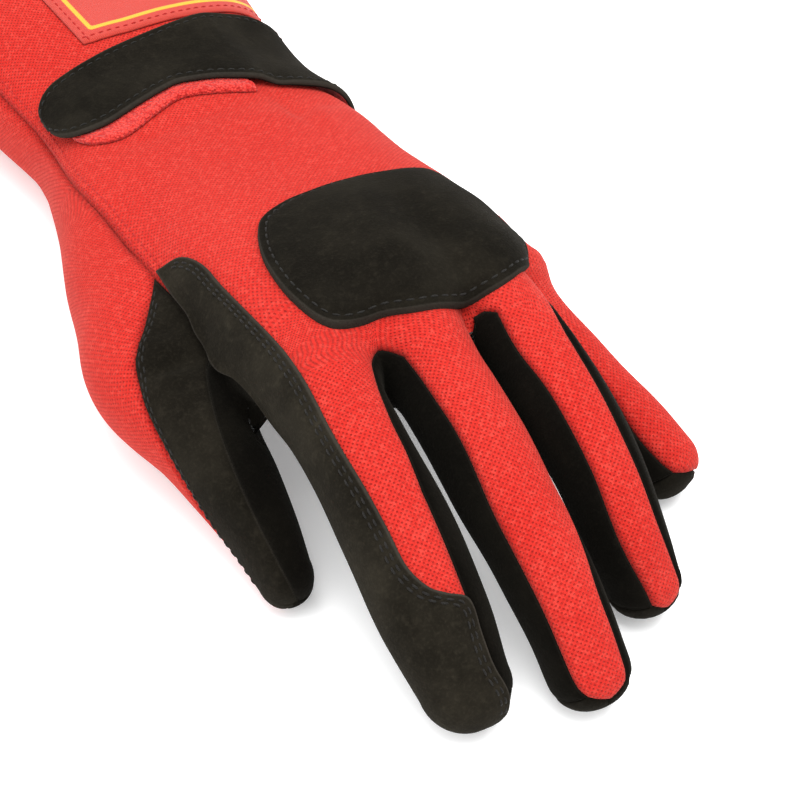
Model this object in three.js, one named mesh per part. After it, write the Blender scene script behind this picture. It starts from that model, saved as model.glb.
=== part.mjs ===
// Left-hand racing glove, lying palm down on its fingertips, thumb and gauntlet.
// Millimetres. Y runs from the fingertips (low) to the gauntlet mouth (high), Z is up,
// and the thumb is on the low X side.
import * as THREE from "three";

const wallThickness = 1.6;
const seamInset = 0.2;
const patchLift = 0.7;
const patchThickness = 1.1;
const padThickness = 2.4;
const tapeThickness = 0.9;
const strapLift = 2.0;
const strapThickness = 1.4;
const seat = { x: 11.37, y: -38.95, z: -0.07 };

// How far neighbouring forms flow into each other where they meet.
const fingerBlend = 0.4;
const handBlend = 2.5;
const thumbBlend = 3.2;
const padBlend = 1.2;

const finishes = {
  redKnit: { color: 0xe2352c, roughness: 0.9, metalness: 0 },
  blackSuede: { color: 0x26241f, roughness: 0.95, metalness: 0 },
  darkSuede: { color: 0x1b1a18, roughness: 0.95, metalness: 0 },
  redTape: { color: 0xd8382f, roughness: 0.85, metalness: 0 },
};

function table(columns, rows) {
  return rows.map((row) => Object.fromEntries(columns.map((name, i) => [name, row[i]])));
}

// Centre line and section of each form: half width, height above and below the centre line,
// and roll in degrees about the centre line.
const sectionColumns = ["x", "y", "z", "half", "up", "down", "roll"];
const sections = {
  hand: table(sectionColumns, [
    [-23.1, 178, 26.0, 45.5, 21.0, 26.0, 0],
    [-20.6, 150, 24.0, 41.9, 20.0, 23.6, 0],
    [-17.3, 122, 21.8, 39.0, 18.9, 21.0, 0],
    [-14.4, 98, 20.8, 37.1, 17.7, 19.0, 0],
    [-12.4, 72, 21.6, 38.6, 18.6, 18.8, 0],
    [-10.6, 45, 25.1, 39.0, 19.5, 19.6, -4],
    [-7.8, 20, 30.7, 39.4, 18.5, 18.0, -7],
    [-4.2, 0, 34.0, 39.0, 17.2, 16.0, -9],
    [0.5, -14, 35.8, 35.4, 13.5, 12.5, -10],
  ]),
  index: table(sectionColumns, [
    [-25.0, 34.0, 28.0, 7.0, 6.0, 8.0, 5],
    [-29.5, 12.0, 35.5, 10.8, 10.6, 10.5, 5],
    [-31.8, -9.0, 39.4, 12.9, 12.6, 12.0, 5],
    [-32.5, -29.4, 41.0, 10.9, 12.2, 12.3, 5],
    [-32.6, -45.1, 37.3, 10.6, 11.8, 12.0, 5],
    [-32.2, -60.1, 30.4, 11.2, 11.2, 11.2, 5],
    [-31.9, -76.8, 19.6, 10.8, 10.5, 10.1, 5],
    [-31.2, -87.2, 10.4, 9.2, 8.8, 8.8, 5],
  ]),
  middle: table(sectionColumns, [
    [-6.0, 36.0, 30.0, 7.0, 6.0, 8.0, 0],
    [-6.8, 14.0, 37.5, 10.4, 11.0, 11.0, 0],
    [-7.6, -7.0, 42.0, 11.4, 12.5, 11.9, 0],
    [-7.9, -25.4, 40.8, 10.0, 12.0, 11.4, 0],
    [-8.2, -41.8, 37.0, 10.1, 11.5, 10.8, 0],
    [-8.0, -57.1, 31.3, 10.2, 11.0, 10.4, 0],
    [-7.6, -75.4, 23.5, 9.4, 10.3, 10.2, 0],
    [-7.3, -88.0, 16.0, 8.8, 9.4, 9.3, 0],
    [-7.0, -95.6, 9.6, 8.8, 8.6, 8.6, 0],
  ]),
  ring: table(sectionColumns, [
    [6.0, 34.0, 30.0, 7.0, 6.0, 8.0, -8],
    [9.4, 10.0, 37.4, 9.4, 10.0, 10.6, -8],
    [11.2, -12.0, 41.6, 9.8, 10.9, 11.0, -8],
    [13.1, -32.6, 39.4, 9.4, 10.4, 10.5, -8],
    [13.9, -48.1, 34.6, 9.8, 10.4, 10.7, -8],
    [14.5, -62.3, 27.5, 9.2, 9.9, 10.0, -8],
    [14.6, -73.5, 18.4, 8.9, 9.4, 8.9, -8],
    [15.6, -80.6, 9.6, 8.1, 8.4, 8.4, -8],
  ]),
  little: table(sectionColumns, [
    [13.0, 26.0, 22.0, 6.0, 6.0, 7.0, -18],
    [18.5, 8.0, 27.0, 7.8, 8.0, 9.0, -18],
    [23.6, -9.0, 27.6, 8.0, 8.4, 9.6, -18],
    [28.7, -22.1, 22.4, 8.0, 8.6, 10.0, -18],
    [32.6, -35.6, 17.6, 8.0, 8.2, 9.5, -18],
    [35.8, -45.6, 13.2, 8.3, 8.4, 9.2, -18],
    [38.2, -53.0, 9.4, 8.2, 8.2, 8.5, -18],
  ]),
  thumb: table(sectionColumns, [
    [-36.8, 88.0, 19.6, 13.5, 16.2, 16.3, 0],
    [-42.4, 62.0, 20.3, 15.6, 17.0, 17.3, 0],
    [-50.2, 36.0, 21.0, 15.9, 15.9, 16.1, 0],
    [-55.8, 14.0, 22.0, 14.6, 14.2, 15.0, 0],
    [-53.6, -8.0, 20.0, 11.4, 12.6, 12.6, 0],
    [-51.3, -28.0, 14.8, 8.3, 11.0, 10.8, 0],
    [-51.0, -43.2, 9.2, 6.2, 8.0, 8.4, 0],
  ]),
};
const handBluntness = 2.6;
const fingerBluntness = 2.2;
const handCap = 9;

// Broad hollows and swellings pressed into the skin: centre, reach along each axis, and depth.
const dents = table(["x", "y", "z", "alongX", "alongY", "alongZ", "depth"], [
  [8, 74, 40, 9, 13, 14, 1.6],
  [17, 94, 33, 13, 17, 12, 2.8],
  [-43.5, -16.5, 29, 5, 6, 8, 2],
  [-34, 78, 38, 14, 9, 12, 0.9],
  [-2, 66, 41, 20, 7, 10, -0.7],
  [-57, 3, 36, 10, 3.5, 8, 1.5],
  [-66, 34, 24, 8, 16, 14, 0.8],
  [-34, -38, 52, 12, 4, 8, 0.5],
  [-7, -36, 52, 12, 4, 8, 0.5],
]);

function spline(points, position) {
  const last = points.length - 1;
  const i = Math.min(Math.floor(position), last - 1);
  const f = position - i;
  const b = points[i];
  const c = points[i + 1];
  const a = i > 0 ? points[i - 1] : b.map((v, k) => 2 * v - c[k]);
  const d = i + 2 <= last ? points[i + 2] : c.map((v, k) => 2 * v - b[k]);
  return b.map(
    (v, k) =>
      0.5 *
      (2 * v +
        (c[k] - a[k]) * f +
        (2 * a[k] - 5 * v + 4 * c[k] - d[k]) * f * f +
        (3 * v - a[k] - 3 * c[k] + d[k]) * f * f * f),
  );
}

const samplesPerTube = 160;

// A rounded form carried along a centre line, closed by a cap at each end.
class Tube {
  constructor(rows, bluntness, cap) {
    this.bluntness = bluntness;
    this.cap = cap;
    this.lastRow = rows.length - 1;
    const lists = rows.map((row) => sectionColumns.map((name) => row[name]));
    const drawn = [];
    for (let i = 0; i < samplesPerTube; i++) {
      drawn.push(spline(lists, (i * this.lastRow) / (samplesPerTube - 1)));
    }
    this.samples = drawn.map((s, i) => {
      const before = drawn[Math.max(i - 1, 0)];
      const after = drawn[Math.min(i + 1, samplesPerTube - 1)];
      const span = Math.min(i + 1, samplesPerTube - 1) - Math.max(i - 1, 0);
      const along = new THREE.Vector3(after[0] - before[0], after[1] - before[1], after[2] - before[2]);
      const step = along.length() / span;
      along.normalize();
      const side = new THREE.Vector3(0, 0, 1).cross(along).normalize();
      const top = along.clone().cross(side);
      const roll = THREE.MathUtils.degToRad(s[6]);
      const right = side.clone().multiplyScalar(Math.cos(roll)).addScaledVector(top, Math.sin(roll));
      const up = top.clone().multiplyScalar(Math.cos(roll)).addScaledVector(side, -Math.sin(roll));
      return [s[0], s[1], s[2], ...along, ...right, ...up, s[3], s[4], s[5], step];
    });
    this.row = new Array(16);
  }

  sampleAt(place) {
    const q = Math.min(Math.max(place, 0), samplesPerTube - 1.0001);
    const i = Math.floor(q);
    const f = q - i;
    const a = this.samples[i];
    const b = this.samples[i + 1];
    for (let k = 0; k < 16; k++) this.row[k] = a[k] + (b[k] - a[k]) * f;
    return this.row;
  }

  nearest(x, y, z) {
    let low = 0;
    let high = samplesPerTube - 1;
    while (high - low > 1) {
      const half = (low + high) >> 1;
      if (this.samples[half][1] > y) low = half;
      else high = half;
    }
    let place = low;
    for (let turn = 0; turn < 4; turn++) {
      const s = this.sampleAt(place);
      const ahead = (x - s[0]) * s[3] + (y - s[1]) * s[4] + (z - s[2]) * s[5];
      place = Math.min(Math.max(place + ahead / s[15], 0), samplesPerTube - 1);
    }
    return place;
  }

  // Distance outside the form, negative inside it.
  distance(x, y, z) {
    const s = this.sampleAt(this.nearest(x, y, z));
    const vx = x - s[0];
    const vy = y - s[1];
    const vz = z - s[2];
    const along = vx * s[3] + vy * s[4] + vz * s[5];
    const right = vx * s[6] + vy * s[7] + vz * s[8];
    const up = vx * s[9] + vy * s[10] + vz * s[11];
    const halfUp = up > 0 ? s[13] : s[14];
    const cap = this.cap || 0.5 * (s[12] + halfUp);
    const e = this.bluntness;
    const a = Math.abs(right) / s[12];
    const b = Math.abs(up) / halfUp;
    const c = Math.abs(along) / cap;
    const reach = (a ** e + b ** e + c ** e) ** (1 / e) + 1e-9;
    const slope =
      Math.hypot(a ** (e - 1) / s[12], b ** (e - 1) / halfUp, c ** (e - 1) / cap) * reach ** (1 - e);
    const inside = (reach - 1) * Math.min(s[12], halfUp);
    const near = THREE.MathUtils.smoothstep(reach, 0.6, 0.85);
    return inside + near * ((reach - 1) / Math.max(slope, 1 / 90) - inside);
  }

  // A line from the centre line at a row position: angle 0 points to high X, 90 up,
  // and tilt leans it towards the tip.
  line(row, angle, tilt = 0) {
    const s = this.sampleAt((row * (samplesPerTube - 1)) / this.lastRow);
    const a = THREE.MathUtils.degToRad(angle);
    const t = THREE.MathUtils.degToRad(tilt);
    const flat = [0, 1, 2].map((k) => s[6 + k] * Math.cos(a) + s[9 + k] * Math.sin(a));
    const direction = flat.map((v, k) => v * Math.cos(t) + s[3 + k] * Math.sin(t));
    return [s[0], s[1], s[2], ...direction];
  }
}

const tubes = Object.fromEntries(
  Object.entries(sections).map(([name, rows]) => [
    name,
    new Tube(rows, name === "hand" ? handBluntness : fingerBluntness, name === "hand" ? handCap : 0),
  ]),
);

function flowTogether(values, blend) {
  const least = Math.min(...values);
  const sum = values.reduce((total, v) => total + Math.exp((least - v) / blend), 0);
  return least - blend * Math.log(sum);
}

// Distance outside the whole glove's skin at a point.
function skin(x, y, z, extraBlend = 0) {
  const fingers = flowTogether(
    ["index", "middle", "ring", "little"].map((name) => tubes[name].distance(x, y, z)),
    fingerBlend + extraBlend,
  );
  const hand = flowTogether([fingers, tubes.hand.distance(x, y, z)], handBlend + extraBlend);
  const whole = flowTogether([hand, tubes.thumb.distance(x, y, z)], thumbBlend);
  const pressed = dents.reduce((total, d) => {
    const reach = ((x - d.x) / d.alongX) ** 2 + ((y - d.y) / d.alongY) ** 2 + ((z - d.z) / d.alongZ) ** 2;
    return total + d.depth * Math.exp(-reach);
  }, 0);
  return whole + pressed;
}

// Point where a line leaves the skin raised by a level.
function leave(line, level, extraBlend) {
  const [x, y, z, dx, dy, dz] = line;
  let run = 0;
  for (let turn = 0; turn < 26; turn++) {
    const gap = level - skin(x + dx * run, y + dy * run, z + dz * run, extraBlend);
    run = Math.min(Math.max(run + 0.9 * gap, 0), 90);
  }
  return [x + dx * run, y + dy * run, z + dz * run];
}

function unitLine(line) {
  const length = Math.hypot(line[3], line[4], line[5]);
  return [line[0], line[1], line[2], line[3] / length, line[4] / length, line[5] / length, ...line.slice(6)];
}

function aim(from, to) {
  return unitLine([...from, to[0] - from[0], to[1] - from[1], to[2] - from[2]]);
}

// Seam along the valley between thumb and hand, from the wrist side to the web, as points from
// and to; number 3 is where the patch, both thumb pieces and the crease meet.
const valley = [
  [[-42.7, 22.7, 26.5], [-48, 21.8, 39.1]],
  [[-42.2, 18.7, 26], [-47.8, 17.3, 38.7]],
  [[-40.5, 11.6, 25.5], [-47.1, 10.2, 38.1]],
  [[-38.9, 7, 25], [-46.9, 4.6, 36]],
  [[-32.9, -3.4, 32.6], [-46.4, -5, 36]],
  [[-31.5, -11, 38.2], [-45.4, -12.4, 38.4]],
  [[-30.6, -17.4, 39.3], [-44.4, -19.7, 37.8]],
];

// A place on the glove: a form's name, a row position, an angle and a tilt, or a number in the valley.
function lineAt(place) {
  if (place[0] === "valley") return aim(...valley[place[1]]);
  return tubes[place[0]].line(place[1], place[2], place[3] || 0);
}

// A line between two places: on one form the place itself is blended, otherwise the line is.
function lineBetween(first, second, share) {
  if (first[0] === second[0]) {
    const mix = (k) => (first[k] || 0) + ((second[k] || 0) - (first[k] || 0)) * share;
    return lineAt([first[0], mix(1), mix(2), mix(3)]);
  }
  const a = lineAt(first);
  const b = lineAt(second);
  return unitLine(a.map((v, k) => v + (b[k] - v) * share));
}

// One row of lines through a list of places, with the same number of steps between each two.
function rowThrough(places, steps) {
  const row = [lineAt(places[0])];
  for (let i = 0; i + 1 < places.length; i++) {
    for (let step = 1; step <= steps; step++) {
      row.push(lineBetween(places[i], places[i + 1], step / steps));
    }
  }
  return row;
}

// Adds smooth rows between the rows of a lattice.
function addRows(lattice, steps) {
  const filled = [];
  for (let i = 0; i <= (lattice.length - 1) * steps; i++) {
    filled.push(lattice[0].map((line, j) => unitLine(spline(lattice.map((row) => row[j]), i / steps))));
  }
  return filled;
}

// A sheet with thickness: lattices are carried out to two levels of the skin, points that
// fall together are joined, and each free edge is drawn back from its seam and closed.
function sheet(name, finish, lattices, low, high, extraBlend = 0) {
  const outer = [];
  const inner = [];
  const known = new Map();
  const faces = [];
  function pointOf(line) {
    const top = leave(line, high + (line[7] || 0), extraBlend);
    const key = top.map((v) => Math.round(v * 200)).join();
    if (!known.has(key)) {
      known.set(key, outer.length);
      outer.push(new THREE.Vector3(...top));
      inner.push(new THREE.Vector3(...leave(line, low + (line[6] || 0), extraBlend)));
    }
    return known.get(key);
  }
  function addFace(a, b, c) {
    if (a !== b && b !== c && c !== a) faces.push([a, b, c]);
  }
  for (const lattice of lattices) {
    const grid = lattice.map((row) => row.map(pointOf));
    for (let i = 0; i + 1 < grid.length; i++) {
      for (let j = 0; j + 1 < grid[i].length; j++) {
        addFace(grid[i][j], grid[i + 1][j], grid[i + 1][j + 1]);
        addFace(grid[i][j], grid[i + 1][j + 1], grid[i][j + 1]);
      }
    }
  }
  const used = new Set();
  for (const [a, b, c] of faces) {
    used.add(`${a},${b}`).add(`${b},${c}`).add(`${c},${a}`);
  }
  const rim = [...used].map((edge) => edge.split(",").map(Number)).filter(([a, b]) => !used.has(`${b},${a}`));
  drawBack(outer, inner, faces, rim);
  const count = outer.length;
  if (enclosed(faces, outer, inner) < 0) {
    faces.forEach((face) => face.reverse());
    rim.forEach((edge) => edge.reverse());
  }
  const index = [];
  for (const [a, b, c] of faces) {
    index.push(a, b, c, c + count, b + count, a + count);
  }
  for (const [a, b] of rim) {
    const shorter = outer[b].distanceTo(inner[a]) < outer[a].distanceTo(inner[b]);
    const corner = shorter ? [a + count, b] : [b + count, a];
    index.push(b, a, corner[0], corner[1], a + count, b + count);
  }
  const geometry = new THREE.BufferGeometry();
  const flat = [...outer, ...inner].flatMap((p) => [p.x + seat.x, p.y + seat.y, p.z + seat.z]);
  geometry.setAttribute("position", new THREE.Float32BufferAttribute(flat, 3));
  geometry.setIndex(index);
  const mesh = new THREE.Mesh(geometry, new THREE.MeshStandardMaterial(finishes[finish]));
  mesh.name = name;
  return mesh;
}

// Signed volume between the outer and inner points of a sheet's faces.
function enclosed(faces, outer, inner) {
  return faces.reduce((total, [a, b, c]) => {
    const normal = outer[b].clone().sub(outer[a]).cross(outer[c].clone().sub(outer[a]));
    return total + normal.dot(outer[a].clone().sub(inner[a]));
  }, 0);
}

// Moves each rim point along the skin, square to the rim, by the seam inset.
function drawBack(outer, inner, faces, rim) {
  const inward = new Map();
  const tangent = new Map();
  for (const [a, b] of rim) {
    const edge = outer[b].clone().sub(outer[a]).normalize();
    for (const i of [a, b]) {
      tangent.set(i, (tangent.get(i) || new THREE.Vector3()).add(edge));
      if (!inward.has(i)) inward.set(i, new THREE.Vector3());
    }
  }
  for (const face of faces) {
    const centre = new THREE.Vector3();
    face.forEach((i) => centre.addScaledVector(outer[i], 1 / 3));
    for (const i of face) {
      if (inward.has(i)) inward.get(i).add(centre.clone().sub(outer[i]));
    }
  }
  for (const [i, pull] of inward) {
    const along = tangent.get(i).normalize();
    pull.addScaledVector(along, -pull.dot(along)).normalize();
    outer[i].addScaledVector(pull, seamInset);
    inner[i].addScaledVector(pull, seamInset);
  }
}

// Seams of each finger from the first row past its web to its last row, as angles.
const seamColumns = ["row", "backLeft", "backRight", "palmLeft", "palmRight"];
const fingerSeams = {
  index: table(seamColumns, [
    [3.7, 207, 47, 207, -42],
    [4.3, 202, 53, 202, -42],
    [5, 200, 60, 200, -42],
    [6, 200, 62, 200, -40],
    [7, 200, 64, 200, -36],
  ]),
  middle: table(seamColumns, [
    [3.9, 130, 24, 222, -42],
    [4.6, 127, 8, 222, -42],
    [5.5, 136, 20, 222, -42],
    [6.6, 138, 52, 220, -40],
    [8, 140, 52, 218, -36],
  ]),
  ring: table(seamColumns, [
    [3.2, 138, 60, 222, -75],
    [4, 131, 66, 222, -72],
    [5, 132, 68, 220, -60],
    [6, 135, 66, 218, -46],
    [7, 130, 60, 214, -38],
  ]),
  little: table(seamColumns, [
    [3.3, 126, -30, 212, -30],
    [4.2, 132, -30, 212, -30],
    [5.1, 146, -26, 212, -26],
    [6, 146, -20, 212, -20],
  ]),
};

// Where the back strip narrows and ends over each fingertip, as angles.
const tipSeams = {
  index: { left: 190, right: 60, end: 92 },
  middle: { left: 132, right: 52, end: 92 },
  ring: { left: 128, right: 58, end: 92 },
  little: { left: 140, right: -15, end: 72 },
};
const sideTilt = 30;
const endTilt = 55;

// The crotch between two fingers, thumb side first. For each level: a point inside the hand, the
// middle of the web, how wide to each side and how deep towards the fingers its round edge runs, and
// how much lower its little-finger side lies than its middle.
const webs = [
  {
    top: { from: [-19.9, -16, 38], to: [-19.4, -27.6, 48], wide: 3.2, deep: 3.6, drop: 0 },
    middle: { from: [-19.9, -14, 39], to: [-19.8, -34, 39.5], wide: 1.2, deep: 2.4, drop: 0 },
    under: { from: [-19.9, -16, 40], to: [-19.8, -29.5, 31], wide: 2, deep: 2.4, drop: 0 },
  },
  {
    top: { from: [2.7, -12, 39], to: [4.9, -26.6, 47.5], wide: 2.2, deep: 3, drop: -2.5 },
    middle: { from: [2.7, -12, 39], to: [2.8, -29, 40], wide: 1.2, deep: 2, drop: 0 },
    under: { from: [2.7, -14, 40], to: [2.8, -25.5, 32], wide: 1.8, deep: 2, drop: 0 },
  },
  {
    top: { from: [19, -9, 30], to: [22.3, -16, 38.5], wide: 1.5, deep: 2, drop: 4 },
    middle: { from: [18.5, -6, 33], to: [21, -18, 33], wide: 1, deep: 1.5, drop: 3 },
    under: { from: [18.2, -10, 34], to: [18.6, -18.5, 25.5], wide: 1.4, deep: 1.5, drop: 2 },
  },
];
const webLevels = ["top", "middle", "under"];
// Step from a web's side point to a point inside its finger: away from the web, back, up.
const webInside = { top: [4, 3, -9], middle: [8, 1.5, 0], under: [3, 3, 7] };

// Line to a web's edge: side -1 is towards the thumb, 0 the middle, 1 towards the little finger.
function webLine(web, level, side) {
  const { from, to, wide, deep, drop } = web[level];
  if (side === 0) return aim(from, to);
  const edge = [to[0] + side * wide, to[1] - deep, to[2] - side * drop];
  const [away, back, up] = webInside[level];
  return aim([edge[0] + side * away, edge[1] + back, edge[2] + up], edge);
}

// Rows down the hand: place on the hand form, thumb-side seams of the back and of the palm,
// and the hand angles that stand for those seams when the columns between are spread.
const cuffRows = table(["row", "leftAngle"], [
  [0, 165], [0.6, 165], [1.2, 165], [1.8, 165], [2.4, 166], [3, 166], [3.5, 164],
]);
const handRows = table(["row", "backSeam", "backAngle", "palmSeam", "palmAngle"], [
  [4.0, ["hand", 4, 162], 162, ["hand", 4, 235], 235],
  [4.65, ["hand", 4.65, 163], 163, ["thumb", 1.2, 262], 238],
  [5.17, ["hand", 5.17, 167], 167, ["thumb", 1.8, 275], 236],
  [5.6, ["thumb", 2.42, 77], 171, ["thumb", 2.5, 290], 236],
  [6.0, ["valley", 1], 176, ["thumb", 2.78, 320], 228],
  [6.4, ["valley", 2], 180, ["thumb", 3.1, 350], 218],
  [6.8, ["valley", 3], 183, ["thumb", 3.6, 363], 212],
  [7.15, ["valley", 5], 186, ["thumb", 4.0, 380], 206],
  [7.5, ["valley", 6], 190, ["valley", 6], 198],
]);
const rightSeamAngle = -8;
// Shares of the way across the hand: five columns for each finger and one for each web.
const columnShares = [
  0, 0.065, 0.13, 0.19, 0.25, 0.27, 0.29, 0.345, 0.4, 0.455, 0.51, 0.53,
  0.55, 0.6, 0.65, 0.7, 0.755, 0.77, 0.785, 0.83, 0.88, 0.94, 1,
];

// One row across the hand from the thumb-side seam to the little-finger side.
function handRow(row, seam, leftAngle, rightAngle) {
  const places = columnShares.map((share) => ["hand", row, leftAngle + (rightAngle - leftAngle) * share]);
  const lines = places.map(lineAt);
  lines[0] = lineAt(seam);
  return lines;
}

const fingerNames = ["index", "middle", "ring", "little"];
// Where each finger's middle line crosses the parting row: row position, angle on the back and on the palm.
const partingPlaces = {
  index: [3, 110, 270],
  middle: [3.2, 88, 270],
  ring: [2.8, 95, 260],
  little: [2.8, 60, 270],
};

// The last hand row, where the fingers part: five lines for each finger, then the web's middle.
function partingRow(level) {
  const onBack = level === "top";
  const halfway = (a, b) => unitLine(a.map((v, k) => (v + b[k]) / 2));
  return fingerNames.flatMap((name, i) => {
    const [row, backAngle, palmAngle] = partingPlaces[name];
    const start = i === 0 ? lineAt(["index", 3, 215]) : webLine(webs[i - 1], level, 1);
    const middle = lineAt([name, row, onBack ? backAngle : palmAngle]);
    const end = i === 3 ? lineAt(["little", 2.8, onBack ? -30 : 330]) : webLine(webs[i], level, -1);
    const lines = [start, halfway(start, middle), middle, halfway(middle, end), end];
    return i === 3 ? lines : [...lines, webLine(webs[i], level, 0)];
  });
}
const backParting = partingRow("top");
const palmParting = partingRow("under");
const fingerLines = 5;

// A finger's own share of the parting row, past the fingers and webs before it.
function fingerShare(parting, order) {
  const first = order * (fingerLines + 1);
  return parting.slice(first, first + fingerLines);
}

function backFinger(name, order) {
  const seams = fingerSeams[name];
  const tip = tipSeams[name];
  const last = seams[seams.length - 1].row;
  const rows = [fingerShare(backParting, order)];
  for (const s of seams) {
    rows.push(rowThrough([[name, s.row, s.backLeft], [name, s.row, s.backRight]], 4));
  }
  const narrow = rowThrough([[name, last, tip.left, sideTilt], [name, last, tip.right, sideTilt]], 4);
  const end = rowThrough([[name, last, tip.end, endTilt], [name, last, tip.end, endTilt]], 4);
  return [...addRows([...rows, narrow], 2), ...addRows([narrow, end], 2).slice(1)];
}

function palmFinger(name, order) {
  const seams = fingerSeams[name];
  const tip = tipSeams[name];
  const last = seams[seams.length - 1].row;
  const rows = [fingerShare(palmParting, order)];
  for (const s of seams) {
    rows.push(rowThrough([[name, s.row, s.palmLeft], [name, s.row, s.palmRight + 360]], 4));
  }
  const around = (left, right, tilt) =>
    [left, 190, 270, 350, right + 360].map((angle) => lineAt([name, last, angle, tilt]));
  const narrow = around(tip.left, tip.right, sideTilt);
  const end = around(tip.end, tip.end, endTilt);
  const closed = [around(tip.end, tip.end, 73), around(tip.end, tip.end, 90)];
  return [...addRows([...rows, narrow], 2), ...addRows([narrow, end], 2).slice(1), ...closed];
}

// Half of the strip between two fingers, from the web down one finger's side to its tip.
function fourchetteHalf(name, web, side) {
  const seams = fingerSeams[name];
  const tip = tipSeams[name];
  const last = seams[seams.length - 1].row;
  const rows = [webLevels.map((level) => webLine(web, level, side === "right" ? -1 : 1))];
  for (const s of seams) {
    const top = side === "right" ? s.backRight : s.backLeft;
    const under = side === "right" ? s.palmRight : s.palmLeft;
    rows.push(rowThrough([[name, s.row, top], [name, s.row, under]], 2));
  }
  const end = [name, last, tip[side], sideTilt];
  rows.push(rowThrough([end, end], 2));
  const lattice = addRows(rows, 2);
  return side === "right" ? lattice : lattice.map((row) => [...row].reverse());
}

const backHand = [
  ...cuffRows.map((r) => handRow(r.row, ["hand", r.row, r.leftAngle], r.leftAngle, rightSeamAngle)),
  ...handRows.map((r) => handRow(r.row, r.backSeam, r.backAngle, rightSeamAngle)),
  backParting,
];
const palmHand = [
  ...handRows.map((r) => handRow(r.row, r.palmSeam, r.palmAngle, rightSeamAngle + 360)),
  palmParting,
];

// Thumb-side strip of the gauntlet: upper seam, two columns between, lower seam.
const thumbOutside = [
  [["hand", 4, 162], ["hand", 4, 162 + 73 / 3], ["hand", 4, 162 + 146 / 3], ["hand", 4, 235]],
  [["hand", 4.65, 163], ["thumb", 1.2, 150], ["thumb", 1.2, 205], ["thumb", 1.2, 262]],
  [["hand", 5.17, 167], ["thumb", 1.8, 145], ["thumb", 1.8, 212], ["thumb", 1.8, 275]],
  [["thumb", 2.42, 77], ["thumb", 2.45, 145], ["thumb", 2.5, 220], ["thumb", 2.5, 290]],
  [["thumb", 2.9, 89], ["thumb", 2.9, 156], ["thumb", 2.9, 224], ["thumb", 2.9, 290]],
  [["thumb", 3.3, 119], ["thumb", 3.3, 176], ["thumb", 3.3, 233], ["thumb", 3.4, 290]],
  [["thumb", 3.8, 144], ["thumb", 3.8, 192], ["thumb", 3.8, 240], ["thumb", 3.8, 288]],
  [["thumb", 4.1, 156], ["thumb", 4.1, 198], ["thumb", 4.1, 243], ["thumb", 4.2, 288]],
  [["thumb", 4.4, 172], ["thumb", 4.4, 211], ["thumb", 4.4, 249], ["thumb", 4.5, 288]],
  [["thumb", 5.0, 206], ["thumb", 5.0, 233], ["thumb", 5.0, 261], ["thumb", 5.0, 288]],
  [["thumb", 5.5, 226], ["thumb", 5.5, 247], ["thumb", 5.5, 267], ["thumb", 5.5, 288]],
  [["thumb", 6.0, 236], ["thumb", 6.0, 253], ["thumb", 6.0, 269], ["thumb", 6.0, 286]],
  [["thumb", 6, 245, 45], ["thumb", 6, 245, 45], ["thumb", 6, 245, 45], ["thumb", 6, 245, 45]],
].map((places) => rowThrough(places, 1));

// Underside of the gauntlet, from the thumb side round to the little-finger seam.
const gauntletUnder = [...cuffRows, { row: 4, leftAngle: 162 }].map((r) => {
  const share = (k) => r.leftAngle + ((235 - r.leftAngle) * k) / 3;
  const places = [0, 1, 2, 3].map((k) => ["hand", r.row, share(k)]);
  const rest = rowThrough([["hand", r.row, 235], ["hand", r.row, 352]], 6);
  return [...rowThrough(places, 1), ...rest.slice(1)];
});

// Upper thumb piece: its outer seam and the seam down the middle of the thumb.
const thumbUpper = [
  [["thumb", 2.42, 77], ["thumb", 2.42, 77]],
  [["thumb", 2.9, 89], ["valley", 1]],
  [["thumb", 3.3, 119], ["valley", 2]],
  [["thumb", 3.8, 144], ["valley", 3]],
  [["thumb", 4.1, 156], ["thumb", 3.9, 77]],
  [["thumb", 4.4, 172], ["thumb", 4.3, 91]],
  [["thumb", 5.0, 206], ["thumb", 4.8, 103]],
  [["thumb", 5.5, 226], ["thumb", 5.4, 107]],
  [["thumb", 6.0, 236], ["thumb", 6.0, 106]],
  [["thumb", 6, 245, 45], ["thumb", 6, 105, 45]],
  [["thumb", 6, 245, 90], ["thumb", 6, 105, 90]],
].map((places) => rowThrough(places, 3));

// Inner thumb piece: from the middle seam over the side that faces the index finger to the lower seam.
const thumbInner = [
  [["valley", 3], ["valley", 5], ["valley", 6], [4.0, 20], [3.6, 3], [3.1, -10], [2.78, -40], [2.5, -70]],
  [[3.9, 77], [4.2, 66], [4.6, 45], [4.4, 18], [4.1, -2], [3.7, -22], [3.3, -46], [2.9, -70]],
  [[4.3, 91], [4.6, 70], [4.9, 44], [4.8, 18], [4.6, -5], [4.3, -28], [3.9, -50], [3.4, -70]],
  [[4.8, 103], [5.0, 78], [5.1, 52], [5.1, 26], [5.0, 0], [4.8, -25], [4.5, -49], [4.2, -72]],
  [[5.4, 107], [5.4, 81], [5.4, 56], [5.4, 30], [5.4, 4], [5.3, -22], [5.2, -47], [5.0, -72]],
  [[5.7, 106], [5.7, 80], [5.7, 55], [5.7, 29], [5.7, 3], [5.6, -22], [5.6, -47], [5.5, -72]],
  [[6, 106], [6, 80], [6, 54], [6, 28], [6, 3], [6, -23], [6, -49], [6, -74]],
  [105, 74, 42, 11, -20, -52, -84, -115].map((angle) => [6, angle, 45]),
  [105, 74, 42, 11, -20, -52, -84, -115].map((angle) => [6, angle, 90]),
].map((row) => row.map((place) => lineAt(place[0] === "valley" ? place : ["thumb", ...place])));

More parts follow.
